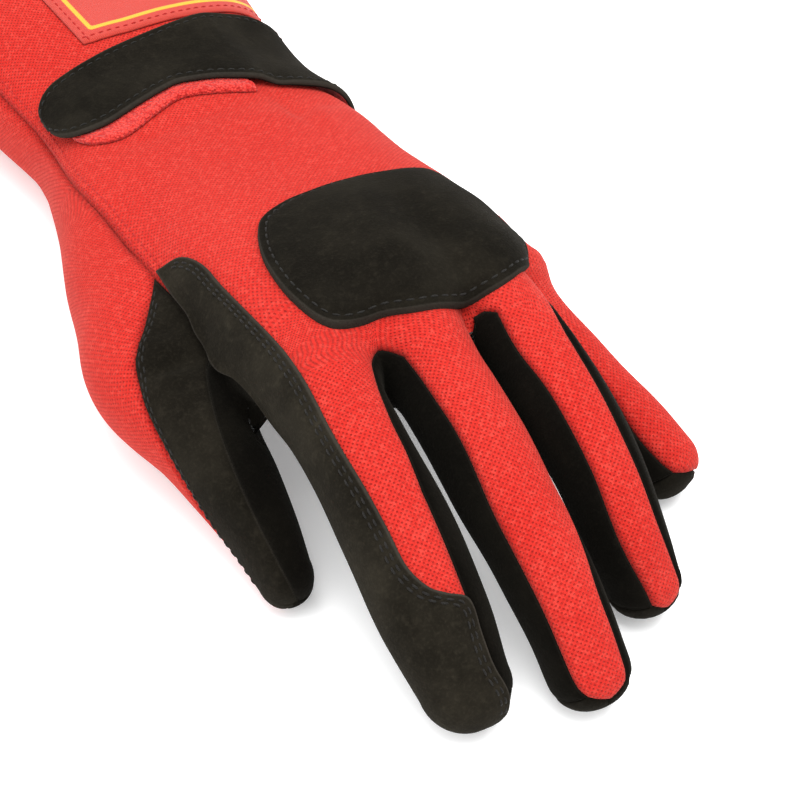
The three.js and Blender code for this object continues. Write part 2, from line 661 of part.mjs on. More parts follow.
// Patch over the thumb side of the index finger and round its tip: left and right edges.
const indexPatch = [
  [["thumb", 2.42, 77], ["thumb", 2.42, 77]],
  [["valley", 0], ["index", 0.8, 138]],
  [["valley", 1], ["index", 1.05, 129]],
  [["valley", 2], ["index", 1.45, 126]],
  [["valley", 3], ["index", 1.85, 122]],
  [["valley", 4], ["index", 2.25, 118]],
  [["valley", 5], ["index", 2.5, 116]],
  [["valley", 6], ["index", 2.75, 115]],
  [["index", 3.0, 213], ["index", 3.1, 115]],
  [["index", 3.5, 210], ["index", 3.5, 117]],
  [["index", 4.0, 203], ["index", 4.0, 117]],
  [["index", 4.5, 201], ["index", 4.5, 115]],
  [["index", 5.0, 200], ["index", 5.0, 113]],
  [["index", 5.5, 200], ["index", 5.4, 111]],
  [["index", 5.9, 202], ["index", 5.65, 100]],
  [["index", 6.2, 205], ["index", 5.78, 84]],
  [["index", 6.5, 208], ["index", 5.92, 64]],
  [["index", 6.8, 212], ["index", 6.3, 66]],
  [["index", 7, 215], ["index", 6.7, 66]],
  [["index", 7, 222, 20], ["index", 7, 62]],
  [["index", 7, 232, 45], ["index", 7, 52, 35]],
  [["index", 7, 245, 70], ["index", 7, 40, 65]],
  [["index", 7, 245, 90], ["index", 7, 40, 90]],
].map((places) => rowThrough(places, 5));

// Outline of the knuckle pad, clockwise from its upper thumb-side corner.
const padOutline = table(["x", "y", "z"], [
  [-23.2, 20.6, 52],
  [-16.8, 23.4, 51.5],
  [-10.1, 24.3, 51.2],
  [-3.5, 25, 50.5],
  [3.2, 25.6, 49.3],
  [9.5, 25.2, 48.4],
  [16.2, 25.5, 46.5],
  [20, 25.2, 45],
  [22.6, 22, 44.4],
  [24.2, 14.5, 44.8],
  [26.4, 8.1, 44.5],
  [28.2, 1, 43],
  [28, -7, 43.4],
  [25.8, -16.5, 45.5],
  [17.5, -23.3, 52.4],
  [11, -25.7, 53.1],
  [4.7, -25.9, 50.8],
  [-2, -26.8, 53],
  [-10.3, -26.1, 54.9],
  [-17.5, -23.2, 54],
  [-24.8, -22.1, 54.8],
  [-28.7, -18.8, 55.5],
  [-30.9, -10.5, 55.4],
  [-31.2, -2, 54.8],
  [-30, 7, 53.9],
  [-26.8, 16, 52.8],
]);
const padCentre = { x: 0, y: 1, z: 52 };
const padRings = table(["share", "drop"], [
  [0, 0],
  [0.4, 0],
  [0.75, 0.2],
  [0.93, 0.7],
  [1, 1.5],
]);
const padLattice = padRings.map((ring) =>
  [...padOutline, padOutline[0]].map((edge) => {
    const mix = (k) => padCentre[k] + (edge[k] - padCentre[k]) * ring.share;
    const line = aim([0.55 * mix("x") - 1.5, 0.9 * mix("y"), 30], [mix("x"), mix("y"), mix("z")]);
    return [...line, 0, -ring.drop];
  }),
);

// Bands across the wrist, from the thumb side to the little-finger side.
function band(rows, steps) {
  return rows.map((r) => rowThrough([["hand", r.top, r.angle], ["hand", r.bottom, r.angle]], steps));
}
const strapRows = table(["angle", "top", "bottom", "dip"], [
  [156.5, 2.9, 3.1, 0],
  [155.5, 2.77, 3.22, 0],
  [153.5, 2.68, 3.36, 0],
  [150.5, 2.61, 3.48, 0],
  [146, 2.56, 3.57, 0],
  [139, 2.54, 3.6, 0],
  [129, 2.52, 3.54, 0],
  [118, 2.5, 3.48, 0],
  [107, 2.49, 3.44, 0],
  [96, 2.48, 3.42, 0],
  [84, 2.47, 3.47, 0],
  [72, 2.46, 3.54, 0],
  [62, 2.45, 3.62, 0],
  [54, 2.44, 3.67, 0],
  [48, 2.44, 3.69, 0.2],
  [42.5, 2.45, 3.72, 0.7],
  [37, 2.47, 3.77, 1],
  [30, 2.5, 3.83, 1.05],
  [20, 2.56, 3.88, 0.8],
  [8, 2.6, 3.92, 0.8],
  [-4, 2.65, 3.94, 0.8],
]);
const strapLattice = band(strapRows, 4).map((row, i) => {
  const { dip } = strapRows[i];
  return row.map((line) => [...line, -dip, -dip]);
});
const tapeRows = table(["angle", "top", "bottom"], [
  [152.5, 3.2, 3.45],
  [150, 2.8, 3.62],
  [146, 2.7, 3.75],
  [140, 2.65, 3.8],
  [133, 2.62, 3.75],
  [125, 2.6, 3.68],
  [115, 2.6, 3.62],
  [102, 2.6, 3.57],
  [90, 2.6, 3.6],
  [78, 2.6, 3.67],
  [69, 2.65, 3.73],
  [60, 2.8, 3.79],
  [55, 3, 3.81],
  [51, 3.4, 3.82],
]);
const labelRows = table(["angle", "top", "bottom"], [
  [124.5, 0.75, 2.17],
  [119, 0.75, 2.19],
  [111, 0.75, 2.21],
  [102, 0.75, 2.23],
  [93, 0.75, 2.25],
  [84, 0.75, 2.26],
  [74, 0.75, 2.27],
  [63, 0.75, 2.28],
  [52, 0.75, 2.3],
  [40, 0.75, 2.32],
  [28, 0.75, 2.34],
  [16, 0.75, 2.36],
  [6, 0.75, 2.37],
]);

const glove = new THREE.Group();
glove.name = "racing_glove";
glove.add(
  sheet("back_panel", "redKnit", [backHand, ...fingerNames.map(backFinger)], -wallThickness, 0),
  sheet("palm_panel", "blackSuede", [palmHand, ...fingerNames.map(palmFinger)], -wallThickness, 0),
  sheet("gauntlet_panel", "redKnit", [gauntletUnder, thumbOutside], -wallThickness, 0),
  sheet("thumb_upper_patch", "blackSuede", [thumbUpper], -wallThickness, 0),
  sheet("thumb_inner_patch", "darkSuede", [thumbInner], -wallThickness, 0),
);
["fourchette_index_middle", "fourchette_middle_ring", "fourchette_ring_little"].forEach((name, i) => {
  const strip = [-1, 0, 1].map((side) => webLevels.map((level) => webLine(webs[i], level, side)).reverse());
  const lattices = [
    fourchetteHalf(fingerNames[i], webs[i], "right"),
    strip,
    fourchetteHalf(fingerNames[i + 1], webs[i], "left"),
  ];
  glove.add(sheet(name, "darkSuede", lattices, -wallThickness, 0));
});
const patchTop = patchLift + patchThickness;
glove.add(
  sheet("index_patch", "blackSuede", [indexPatch], patchLift, patchTop),
  sheet("knuckle_pad", "blackSuede", [padLattice], patchLift, patchLift + padThickness, padBlend),
  sheet("wrist_strap", "blackSuede", [strapLattice], strapLift, strapLift + strapThickness),
  sheet("loop_tape", "redTape", [band(tapeRows, 3)], patchLift, patchLift + tapeThickness),
  sheet("label_patch", "redTape", [band(labelRows, 6)], patchLift, patchLift + tapeThickness),
);

export default glove;
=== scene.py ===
# Racing glove: the knit, suede, padding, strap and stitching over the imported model.
import math
import bpy
import numpy as np
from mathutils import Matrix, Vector


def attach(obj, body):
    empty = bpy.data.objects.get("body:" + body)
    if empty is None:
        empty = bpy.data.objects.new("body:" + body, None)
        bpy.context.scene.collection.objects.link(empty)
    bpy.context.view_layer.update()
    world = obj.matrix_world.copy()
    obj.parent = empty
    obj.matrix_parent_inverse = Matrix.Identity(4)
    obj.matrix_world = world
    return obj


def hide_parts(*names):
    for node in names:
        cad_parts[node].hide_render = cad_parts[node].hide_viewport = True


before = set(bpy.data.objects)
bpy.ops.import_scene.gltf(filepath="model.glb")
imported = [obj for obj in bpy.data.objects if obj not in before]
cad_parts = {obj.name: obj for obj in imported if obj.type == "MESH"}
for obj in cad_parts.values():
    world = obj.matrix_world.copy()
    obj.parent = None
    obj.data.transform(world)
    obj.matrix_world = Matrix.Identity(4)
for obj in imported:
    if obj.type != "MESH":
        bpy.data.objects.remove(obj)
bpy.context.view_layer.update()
mm = 0.001
seat = np.array([11.37, -38.95, -0.07])  # where the working origin lies in the row frame, mm


# A new object in the scene.
def putObject(name, data):
    placed = bpy.data.objects.new(name, data)
    bpy.context.scene.collection.objects.link(placed)
    return placed


# Turn of a camera or lamp whose back points along the given vector.
def turnFor(back):
    return back.to_track_quat("Z", "Y").to_euler()


# Camera at the photograph's angle
cameraSetup = {"azimuth": -28.0, "elevation": 45.0, "distance": 0.5, "lens": 94.5, "sensor": 36.0}
cameraData = bpy.data.cameras.new("camera")
cameraData.lens = cameraSetup["lens"]
cameraData.sensor_width = cameraSetup["sensor"]
camera = putObject("camera", cameraData)
azimuth, elevation = math.radians(cameraSetup["azimuth"]), math.radians(cameraSetup["elevation"])
back = Vector((math.sin(azimuth) * math.cos(elevation), -math.cos(azimuth) * math.cos(elevation),
               math.sin(elevation)))
camera.location = Vector(seat * mm) + back * cameraSetup["distance"]
camera.rotation_euler = turnFor(back)
bpy.context.scene.camera = camera
print("camera ready")

# Centre line of each form, half width, height above and below the centre line, roll in degrees; mm
formRows = {
    "hand": [(-23.1, 178, 26.0, 45.5, 21.0, 26.0, 0), (-20.6, 150, 24.0, 41.9, 20.0, 23.6, 0),
             (-17.3, 122, 21.8, 39.0, 18.9, 21.0, 0), (-14.4, 98, 20.8, 37.1, 17.7, 19.0, 0),
             (-12.4, 72, 21.6, 38.6, 18.6, 18.8, 0), (-10.6, 45, 25.1, 39.0, 19.5, 19.6, -4),
             (-7.8, 20, 30.7, 39.4, 18.5, 18.0, -7), (-4.2, 0, 34.0, 39.0, 17.2, 16.0, -9),
             (0.5, -14, 35.8, 35.4, 13.5, 12.5, -10)],
    "index": [(-25.0, 34.0, 28.0, 7.0, 6.0, 8.0, 5), (-29.5, 12.0, 35.5, 10.8, 10.6, 10.5, 5),
              (-31.8, -9.0, 39.4, 12.9, 12.6, 12.0, 5), (-32.5, -29.4, 41.0, 10.9, 12.2, 12.3, 5),
              (-32.6, -45.1, 37.3, 10.6, 11.8, 12.0, 5), (-32.2, -60.1, 30.4, 11.2, 11.2, 11.2, 5),
              (-31.9, -76.8, 19.6, 10.8, 10.5, 10.1, 5), (-31.2, -87.2, 10.4, 9.2, 8.8, 8.8, 5)],
    "middle": [(-6.0, 36.0, 30.0, 7.0, 6.0, 8.0, 0), (-6.8, 14.0, 37.5, 10.4, 11.0, 11.0, 0),
               (-7.6, -7.0, 42.0, 11.4, 12.5, 11.9, 0), (-7.9, -25.4, 40.8, 10.0, 12.0, 11.4, 0),
               (-8.2, -41.8, 37.0, 10.1, 11.5, 10.8, 0), (-8.0, -57.1, 31.3, 10.2, 11.0, 10.4, 0),
               (-7.6, -75.4, 23.5, 9.4, 10.3, 10.2, 0), (-7.3, -88.0, 16.0, 8.8, 9.4, 9.3, 0),
               (-7.0, -95.6, 9.6, 8.8, 8.6, 8.6, 0)],
    "ring": [(6.0, 34.0, 30.0, 7.0, 6.0, 8.0, -8), (9.4, 10.0, 37.4, 9.4, 10.0, 10.6, -8),
             (11.2, -12.0, 41.6, 9.8, 10.9, 11.0, -8), (13.1, -32.6, 39.4, 9.4, 10.4, 10.5, -8),
             (13.9, -48.1, 34.6, 9.8, 10.4, 10.7, -8), (14.5, -62.3, 27.5, 9.2, 9.9, 10.0, -8),
             (14.6, -73.5, 18.4, 8.9, 9.4, 8.9, -8), (15.6, -80.6, 9.6, 8.1, 8.4, 8.4, -8)],
    "little": [(13.0, 26.0, 22.0, 6.0, 6.0, 7.0, -18), (18.5, 8.0, 27.0, 7.8, 8.0, 9.0, -18),
               (23.6, -9.0, 27.6, 8.0, 8.4, 9.6, -18), (28.7, -22.1, 22.4, 8.0, 8.6, 10.0, -18),
               (32.6, -35.6, 17.6, 8.0, 8.2, 9.5, -18), (35.8, -45.6, 13.2, 8.3, 8.4, 9.2, -18),
               (38.2, -53.0, 9.4, 8.2, 8.2, 8.5, -18)],
    "thumb": [(-36.8, 88.0, 19.6, 13.5, 16.2, 16.3, 0), (-42.4, 62.0, 20.3, 15.6, 17.0, 17.3, 0),
              (-50.2, 36.0, 21.0, 15.9, 15.9, 16.1, 0), (-55.8, 14.0, 22.0, 14.6, 14.2, 15.0, 0),
              (-53.6, -8.0, 20.0, 11.4, 12.6, 12.6, 0), (-51.3, -28.0, 14.8, 8.3, 11.0, 10.8, 0),
              (-51.0, -43.2, 9.2, 6.2, 8.0, 8.4, 0)],
}
blends = {"finger": 0.4, "hand": 2.5, "thumb": 3.2}
bluntness = {"hand": 2.6, "finger": 2.2}
handCap = 9.0
# Broad hollows and swellings: centre, reach along each axis, depth; mm
hollows = np.array([
    (8, 74, 40, 9, 13, 14, 1.6), (17, 94, 33, 13, 17, 12, 2.8), (-43.5, -16.5, 29, 5, 6, 8, 0.6),
    (-34, 78, 38, 14, 9, 12, 0.9), (-2, 66, 41, 20, 7, 10, -0.7), (-57, 3, 36, 10, 3.5, 8, 1.5),
    (-66, 34, 24, 8, 16, 14, 0.8), (-34, -38, 52, 12, 4, 8, 0.5), (-7, -36, 52, 12, 4, 8, 0.5),
], float)


# Smooth curve through points: each stretch is the cubic whose end slopes are half the span of its neighbours.
def curveThrough(points, places):
    points = np.asarray(points, float)
    last = len(points) - 1
    places = np.asarray(places, float)
    i = np.clip(np.floor(places).astype(int), 0, last - 1)
    f = (places - i).reshape((-1,) + (1,) * (points.ndim - 1))
    wide = np.concatenate([[2 * points[0] - points[1]], points, [2 * points[-1] - points[-2]]])
    a, b, c, d = wide[i], wide[i + 1], wide[i + 2], wide[i + 3]
    return 0.5 * (2 * b + (c - a) * f + (2 * a - 5 * b + 4 * c - d) * f**2 + (3 * b - a - 3 * c + d) * f**3)


# Vectors divided by their lengths.
def unit(vectors):
    return vectors / np.maximum(np.linalg.norm(vectors, axis=-1, keepdims=True), 1e-12)


# Dot product of each row of one array with the same row of the other.
def dot(first, second):
    return np.einsum("ij,ij->i", first, second)


# A rounded form carried along a centre line, closed by a cap at each end. Columns of its table: centre,
# directions along, right and up, half width, height above, height below, step.
class Form:
    count = 160
    nearFrom, nearSpan = 0.6, 0.25  # reach from which the slope counts, and over what more it sets in
    leastSlope = 1 / 90

    def __init__(self, rows, blunt, cap):
        self.blunt, self.cap, self.lastRow = blunt, cap, len(rows) - 1
        drawn = curveThrough(rows, np.linspace(0, self.lastRow, self.count))
        centre = drawn[:, :3]
        after = np.minimum(np.arange(self.count) + 1, self.count - 1)
        before = np.maximum(np.arange(self.count) - 1, 0)
        along = centre[after] - centre[before]
        step = np.linalg.norm(along, axis=1) / (after - before)
        along = unit(along)
        side = unit(np.cross([0, 0, 1], along))
        top = np.cross(along, side)
        roll = np.radians(drawn[:, 6:7])
        right = side * np.cos(roll) + top * np.sin(roll)
        up = top * np.cos(roll) - side * np.sin(roll)
        self.table = np.hstack([centre, along, right, up, drawn[:, 3:6], step[:, None]])

    def sampleAt(self, place):
        place = np.clip(place, 0, self.count - 1.0001)
        i = place.astype(int)
        f = (place - i)[:, None]
        return self.table[i] * (1 - f) + self.table[i + 1] * f

    # Distance outside the form: the superellipse's reach less one, over the slope of the reach.
    def distance(self, points):
        place = np.interp(-points[:, 1], -self.table[:, 1], np.arange(self.count))
        for turn in range(3):
            s = self.sampleAt(place)
            place = np.clip(place + dot(points - s[:, :3], s[:, 3:6]) / s[:, 15], 0, self.count - 1)
        s = self.sampleAt(place)
        v = points - s[:, :3]
        along, right, up = dot(v, s[:, 3:6]), dot(v, s[:, 6:9]), dot(v, s[:, 9:12])
        half = s[:, 12]
        halfUp = np.where(up > 0, s[:, 13], s[:, 14])
        cap = self.cap or 0.5 * (half + halfUp)
        e = self.blunt
        a, b, c = np.abs(right) / half, np.abs(up) / halfUp, np.abs(along) / cap
        reach = (a**e + b**e + c**e) ** (1 / e) + 1e-9
        slope = np.sqrt((a ** (e - 1) / half) ** 2 + (b ** (e - 1) / halfUp) ** 2 + (c ** (e - 1) / cap) ** 2)
        slope = slope * reach ** (1 - e)
        inside = (reach - 1) * np.minimum(half, halfUp)
        near = np.clip((reach - self.nearFrom) / self.nearSpan, 0, 1)
        near = near * near * (3 - 2 * near)
        return inside + near * ((reach - 1) / np.maximum(slope, self.leastSlope) - inside)

    # Lines from the centre line: angle 0 points to high X, 90 up, and tilt leans them towards the tip.
    def line(self, row, angle, tilt=0.0):
        s = self.sampleAt(np.array([row * (self.count - 1) / self.lastRow]))[0]
        a, t = math.radians(angle), math.radians(tilt)
        flat = s[6:9] * math.cos(a) + s[9:12] * math.sin(a)
        return np.concatenate([s[:3], flat * math.cos(t) + s[3:6] * math.sin(t)])


forms = {name: Form(rows, bluntness["hand" if name == "hand" else "finger"], handCap if name == "hand" else 0)
         for name, rows in formRows.items()}


# Forms flowing into each other: the least distance less the blend times the log of summed exponentials.
def flowTogether(values, blend):
    least = np.min(values, axis=0)
    return least - blend * np.log(sum(np.exp((least - v) / blend) for v in values))


# Distance outside the glove: fingers, hand and thumb flowing together, plus each hollow's depth in a bell.
def skin(points, extraBlend=0.0):
    fingers = flowTogether([forms[n].distance(points) for n in ("index", "middle", "ring", "little")],
                           blends["finger"] + extraBlend)
    hand = flowTogether([fingers, forms["hand"].distance(points)], blends["hand"] + extraBlend)
    whole = flowTogether([hand, forms["thumb"].distance(points)], blends["thumb"])
    for h in hollows:
        whole = whole + h[6] * np.exp(-(((points - h[:3]) / h[3:6]) ** 2).sum(axis=1))
    return whole


# How far along each line the skin raised by a level is met: step by the remaining distance.
def runTo(lines, level, extraBlend=0.0, turns=26, stride=0.9, furthest=90):
    flat = lines.reshape(-1, 6)
    level = np.broadcast_to(level, lines.shape[:-1]).ravel()
    run = np.zeros(len(flat))
    for turn in range(turns):
        gap = level - skin(flat[:, :3] + flat[:, 3:] * run[:, None], extraBlend)
        run = np.clip(run + stride * gap, 0, furthest)
    return run.reshape(lines.shape[:-1])


# Points drawn onto the raised skin: each moves by the remaining distance along the skin's slope.
def settle(points, level, extraBlend=0.0, turns=4, reach=0.35, leastSlope=0.5):
    flat = points.reshape(-1, 3).copy()
    level = np.broadcast_to(level, points.shape[:-1]).ravel()
    for turn in range(turns):
        value = skin(flat, extraBlend)
        slope = np.stack([skin(flat + reach * axis, extraBlend) - value for axis in np.eye(3)], -1) / reach
        outward = unit(slope)
        flat -= outward * ((value - level) / np.maximum(np.linalg.norm(slope, axis=1), leastSlope))[:, None]
    return flat.reshape(points.shape), outward.reshape(points.shape)


# A line is a point and a direction, six numbers; here its direction is brought to length 1.
def unitLines(lines):
    return np.concatenate([lines[..., :3], unit(lines[..., 3:])], axis=-1)


def aim(start, to):
    return unitLines(np.concatenate([start, np.subtract(to, start)], axis=-1))


# Seam along the valley between thumb and hand, from the wrist side to the web, as points from and to.
valley = [
    ((-42.7, 22.7, 26.5), (-48, 21.8, 39.1)), ((-42.2, 18.7, 26), (-47.8, 17.3, 38.7)),
    ((-40.5, 11.6, 25.5), (-47.1, 10.2, 38.1)), ((-38.9, 7, 25), (-46.9, 4.6, 36)),
    ((-32.9, -3.4, 32.6), (-46.4, -5, 36)), ((-31.5, -11, 38.2), (-45.4, -12.4, 38.4)),
    ((-30.6, -17.4, 39.3), (-44.4, -19.7, 37.8)),
]


# A line at a place: (form, row, angle, tilt) or ("valley", number).
def lineAt(place):
    if place[0] == "valley":
        return aim(*valley[place[1]])
    return forms[place[0]].line(place[1], place[2], place[3] if len(place) > 3 else 0.0)


# One row of lines through a list of places, with the same number of steps between each two.
def rowThrough(places, steps):
    row = [lineAt(places[0])]
    for first, second in zip(places, places[1:]):
        for share in np.arange(1, steps + 1) / steps:
            if first[0] == second[0]:
                a = np.array(list(first[1:]) + [0.0] * (4 - len(first)))
                b = np.array(list(second[1:]) + [0.0] * (4 - len(second)))
                row.append(lineAt((first[0], *(a + (b - a) * share))))
            else:
                row.append(unitLines(lineAt(first) * (1 - share) + lineAt(second) * share))
    return np.array(row)


# A lattice of such rows; a place that names no form is on the given one.
def latticeThrough(form, rows, steps):
    named = [[p if isinstance(p[0], str) else (form, *p) for p in row] for row in rows]
    return np.array([rowThrough(row, steps) for row in named])


# Seams of each finger: row, then the angles of the back's left and right and the palm's left and right
fingerSeams = {
    "index": [(3.7, 207, 47, 207, -42), (4.3, 202, 53, 202, -42), (5, 200, 60, 200, -42),
              (6, 200, 62, 200, -40), (7, 200, 64, 200, -36)],
    "middle": [(3.9, 130, 24, 222, -42), (4.6, 127, 8, 222, -42), (5.5, 136, 20, 222, -42),
               (6.6, 138, 52, 220, -40), (8, 140, 52, 218, -36)],
    "ring": [(3.2, 138, 60, 222, -75), (4, 131, 66, 222, -72), (5, 132, 68, 220, -60), (6, 135, 66, 218, -46),
             (7, 130, 60, 214, -38)],
    "little": [(3.3, 126, -30, 212, -30), (4.2, 132, -30, 212, -30), (5.1, 146, -26, 212, -26),
               (6, 146, -20, 212, -20)],
}
tipSeams = {"index": (190, 60, 92), "middle": (132, 52, 92), "ring": (128, 58, 92), "little": (140, -15, 72)}
sideTilt, endTilt, closingTilts = 30, 55, (73, 90)
palmTipAngles = (190, 270, 350)
# For each level of a web: a point inside the hand, its middle, how wide and how deep its round edge runs, and
# how much lower its little-finger side lies.
webs = [
    {"top": ((-19.9, -16, 38), (-19.4, -27.6, 48), 3.2, 3.6, 0),
     "middle": ((-19.9, -14, 39), (-19.8, -34, 39.5), 1.2, 2.4, 0),
     "under": ((-19.9, -16, 40), (-19.8, -29.5, 31), 2, 2.4, 0)},
    {"top": ((2.7, -12, 39), (4.9, -26.6, 47.5), 2.2, 3, -2.5),
     "middle": ((2.7, -12, 39), (2.8, -29, 40), 1.2, 2, 0),
     "under": ((2.7, -14, 40), (2.8, -25.5, 32), 1.8, 2, 0)},
    {"top": ((19, -9, 30), (22.3, -16, 38.5), 1.5, 2, 4),
     "middle": ((18.5, -6, 33), (21, -18, 33), 1, 1.5, 3),
     "under": ((18.2, -10, 34), (18.6, -18.5, 25.5), 1.4, 1.5, 2)},
]
webLevels = ("top", "middle", "under")
webInside = {"top": (4, 3, -9), "middle": (8, 1.5, 0), "under": (3, 3, 7)}  # from corner to line's start


# Line to a web's edge: side -1 is towards the thumb, 0 the middle, 1 towards the little finger.
def webLine(web, level, side):
    start, to, wide, deep, drop = web[level]
    if side == 0:
        return aim(start, to)
    edge = np.array([to[0] + side * wide, to[1] - deep, to[2] - side * drop])
    away, back, up = webInside[level]
    return aim(edge + (side * away, back, up), edge)


# Cuff: row and left angle. Hand: row, the back's left seam and angle, the palm's left seam and angle
cuffRows = [(0, 165), (0.6, 165), (1.2, 165), (1.8, 165), (2.4, 166), (3, 166), (3.5, 164)]
handRows = [
    (4.0, ("hand", 4, 162), 162, ("hand", 4, 235), 235),
    (4.65, ("hand", 4.65, 163), 163, ("thumb", 1.2, 262), 238),
    (5.17, ("hand", 5.17, 167), 167, ("thumb", 1.8, 275), 236),
    (5.6, ("thumb", 2.42, 77), 171, ("thumb", 2.5, 290), 236),
    (6.0, ("valley", 1), 176, ("thumb", 2.78, 320), 228), (6.4, ("valley", 2), 180, ("thumb", 3.1, 350), 218),
    (6.8, ("valley", 3), 183, ("thumb", 3.6, 363), 212), (7.15, ("valley", 5), 186, ("thumb", 4.0, 380), 206),
    (7.5, ("valley", 6), 190, ("valley", 6), 198),
]
rightSeamAngle, underSeamAngle = -8, 235
columnShares = (0, 0.065, 0.13, 0.19, 0.25, 0.27, 0.29, 0.345, 0.4, 0.455, 0.51, 0.53, 0.55, 0.6, 0.65, 0.7,
                0.755, 0.77, 0.785, 0.83, 0.88, 0.94, 1)
fingerNames = ("index", "middle", "ring", "little")


# Lines round the hand from left to right angle by the columns' shares; the first is the seam's own.
def handRow(row, seam, leftAngle, rightAngle):
    lines = np.array([lineAt(("hand", row, leftAngle + (rightAngle - leftAngle) * s)) for s in columnShares])
    lines[0] = lineAt(seam)
    return lines


# Where the fingers part: each one's row and its middle angles on the back and in the palm, and the row's ends
partingPlaces = {"index": (3, 110, 270), "middle": (3.2, 88, 270), "ring": (2.8, 95, 260),
                 "little": (2.8, 60, 270)}
partingStart, partingEnd = ("index", 3, 215), ("little", 2.8, -30)
fingerLines, fingerStride = 5, 6  # a finger's lines on the parting row, and those with the web's middle


# The hand row where the fingers part: five lines for each finger, then the web's middle.
def partingRow(level):
    onBack, row = level == "top", []
    name, place, angle = partingEnd
    edges = [lineAt(partingStart), lineAt((name, place, angle if onBack else angle + 360))]
    for i, name in enumerate(fingerNames):
        place, backAngle, palmAngle = partingPlaces[name]
        start = edges[0] if i == 0 else webLine(webs[i - 1], level, 1)
        middle = lineAt((name, place, backAngle if onBack else palmAngle))
        end = edges[1] if i == len(webs) else webLine(webs[i], level, -1)
        row += [start, unitLines((start + middle) / 2), middle, unitLines((middle + end) / 2), end]
        if i < len(webs):
            row.append(webLine(webs[i], level, 0))
    return np.array(row)


backParting, palmParting = partingRow("top"), partingRow("under")


# Rows of a finger from the parting to its last seam row, between two columns of its seams.
def fingerRows(name, order, parting, left, right, turn):
    rows = [parting[order * fingerStride:order * fingerStride + fingerLines]]
    return rows + [rowThrough([(name, s[0], s[left]), (name, s[0], s[right] + turn)], fingerLines - 1)
                   for s in fingerSeams[name]]


# A finger's back: its rows, then one that leans over the tip and one where all lines meet.
def backFinger(name, order):
    left, right, end = tipSeams[name]
    last = fingerSeams[name][-1][0]
    rows = fingerRows(name, order, backParting, 1, 2, 0)
    narrow, closed = (rowThrough([(name, last, first, tilt), (name, last, final, tilt)], fingerLines - 1)
                      for first, final, tilt in ((left, right, sideTilt), (end, end, endTilt)))
    return [np.array(rows + [narrow]), np.array([narrow, closed])]


# A finger's front: its rows, then rings round the palm side that lean over the tip more and more.
def palmFinger(name, order):
    left, right, end = tipSeams[name]
    last = fingerSeams[name][-1][0]
    rows = fingerRows(name, order, palmParting, 3, 4, 360)

    def around(first, final, tilt):
        angles = (first, *palmTipAngles, final + 360)
        return np.array([lineAt((name, last, angle, tilt)) for angle in angles])

    rings = [around(left, right, sideTilt)] + [around(end, end, tilt) for tilt in (endTilt, *closingTilts)]
    return [np.array(rows + rings[:1])] + [np.array(pair) for pair in zip(rings, rings[1:])]


# Half of the strip between two fingers: rows from the web's edge down one finger's side to its tip.
def stripHalf(name, web, side):
    left, right, end = tipSeams[name]
    last = fingerSeams[name][-1][0]
    rows = [np.array([webLine(web, level, -1 if side == "right" else 1) for level in webLevels])]
    for s in fingerSeams[name]:
        top, under = (s[2], s[4]) if side == "right" else (s[1], s[3])
        rows.append(rowThrough([(name, s[0], top), (name, s[0], under)], 2))
    tip = (name, last, right if side == "right" else left, sideTilt)
    rows.append(rowThrough([tip, tip], 2))
    lattice = np.array(rows)
    return [lattice if side == "right" else lattice[:, ::-1]]


backHand = [np.array([handRow(r[0], ("hand", r[0], r[1]), r[1], rightSeamAngle) for r in cuffRows]
                     + [handRow(r[0], r[1], r[2], rightSeamAngle) for r in handRows] + [backParting])]
palmHand = [np.array([handRow(r[0], r[3], r[4], rightSeamAngle + 360) for r in handRows] + [palmParting])]
thumbOutside = [latticeThrough("thumb", [
    [("hand", 4, 162), ("hand", 4, 162 + 73 / 3), ("hand", 4, 162 + 146 / 3), ("hand", 4, 235)],
    [("hand", 4.65, 163), (1.2, 150), (1.2, 205), (1.2, 262)],
    [("hand", 5.17, 167), (1.8, 145), (1.8, 212), (1.8, 275)],
    [(2.42, 77), (2.45, 145), (2.5, 220), (2.5, 290)], [(2.9, 89), (2.9, 156), (2.9, 224), (2.9, 290)],
    [(3.3, 119), (3.3, 176), (3.3, 233), (3.4, 290)], [(3.8, 144), (3.8, 192), (3.8, 240), (3.8, 288)],
    [(4.1, 156), (4.1, 198), (4.1, 243), (4.2, 288)], [(4.4, 172), (4.4, 211), (4.4, 249), (4.5, 288)],
    [(5.0, 206), (5.0, 233), (5.0, 261), (5.0, 288)], [(5.5, 226), (5.5, 247), (5.5, 267), (5.5, 288)],
    [(6.0, 236), (6.0, 253), (6.0, 269), (6.0, 286)], [(6, 245, 45)] * 4,
], 1)]


# Underside of the gauntlet, from the thumb side round to the little-finger seam.
def underRow(row, leftAngle):
    first = rowThrough([("hand", row, leftAngle + (underSeamAngle - leftAngle) * k / 3) for k in range(4)], 1)
    rest = rowThrough([("hand", row, underSeamAngle), ("hand", row, rightSeamAngle + 360)], 6)
    return np.concatenate([first, rest[1:]])


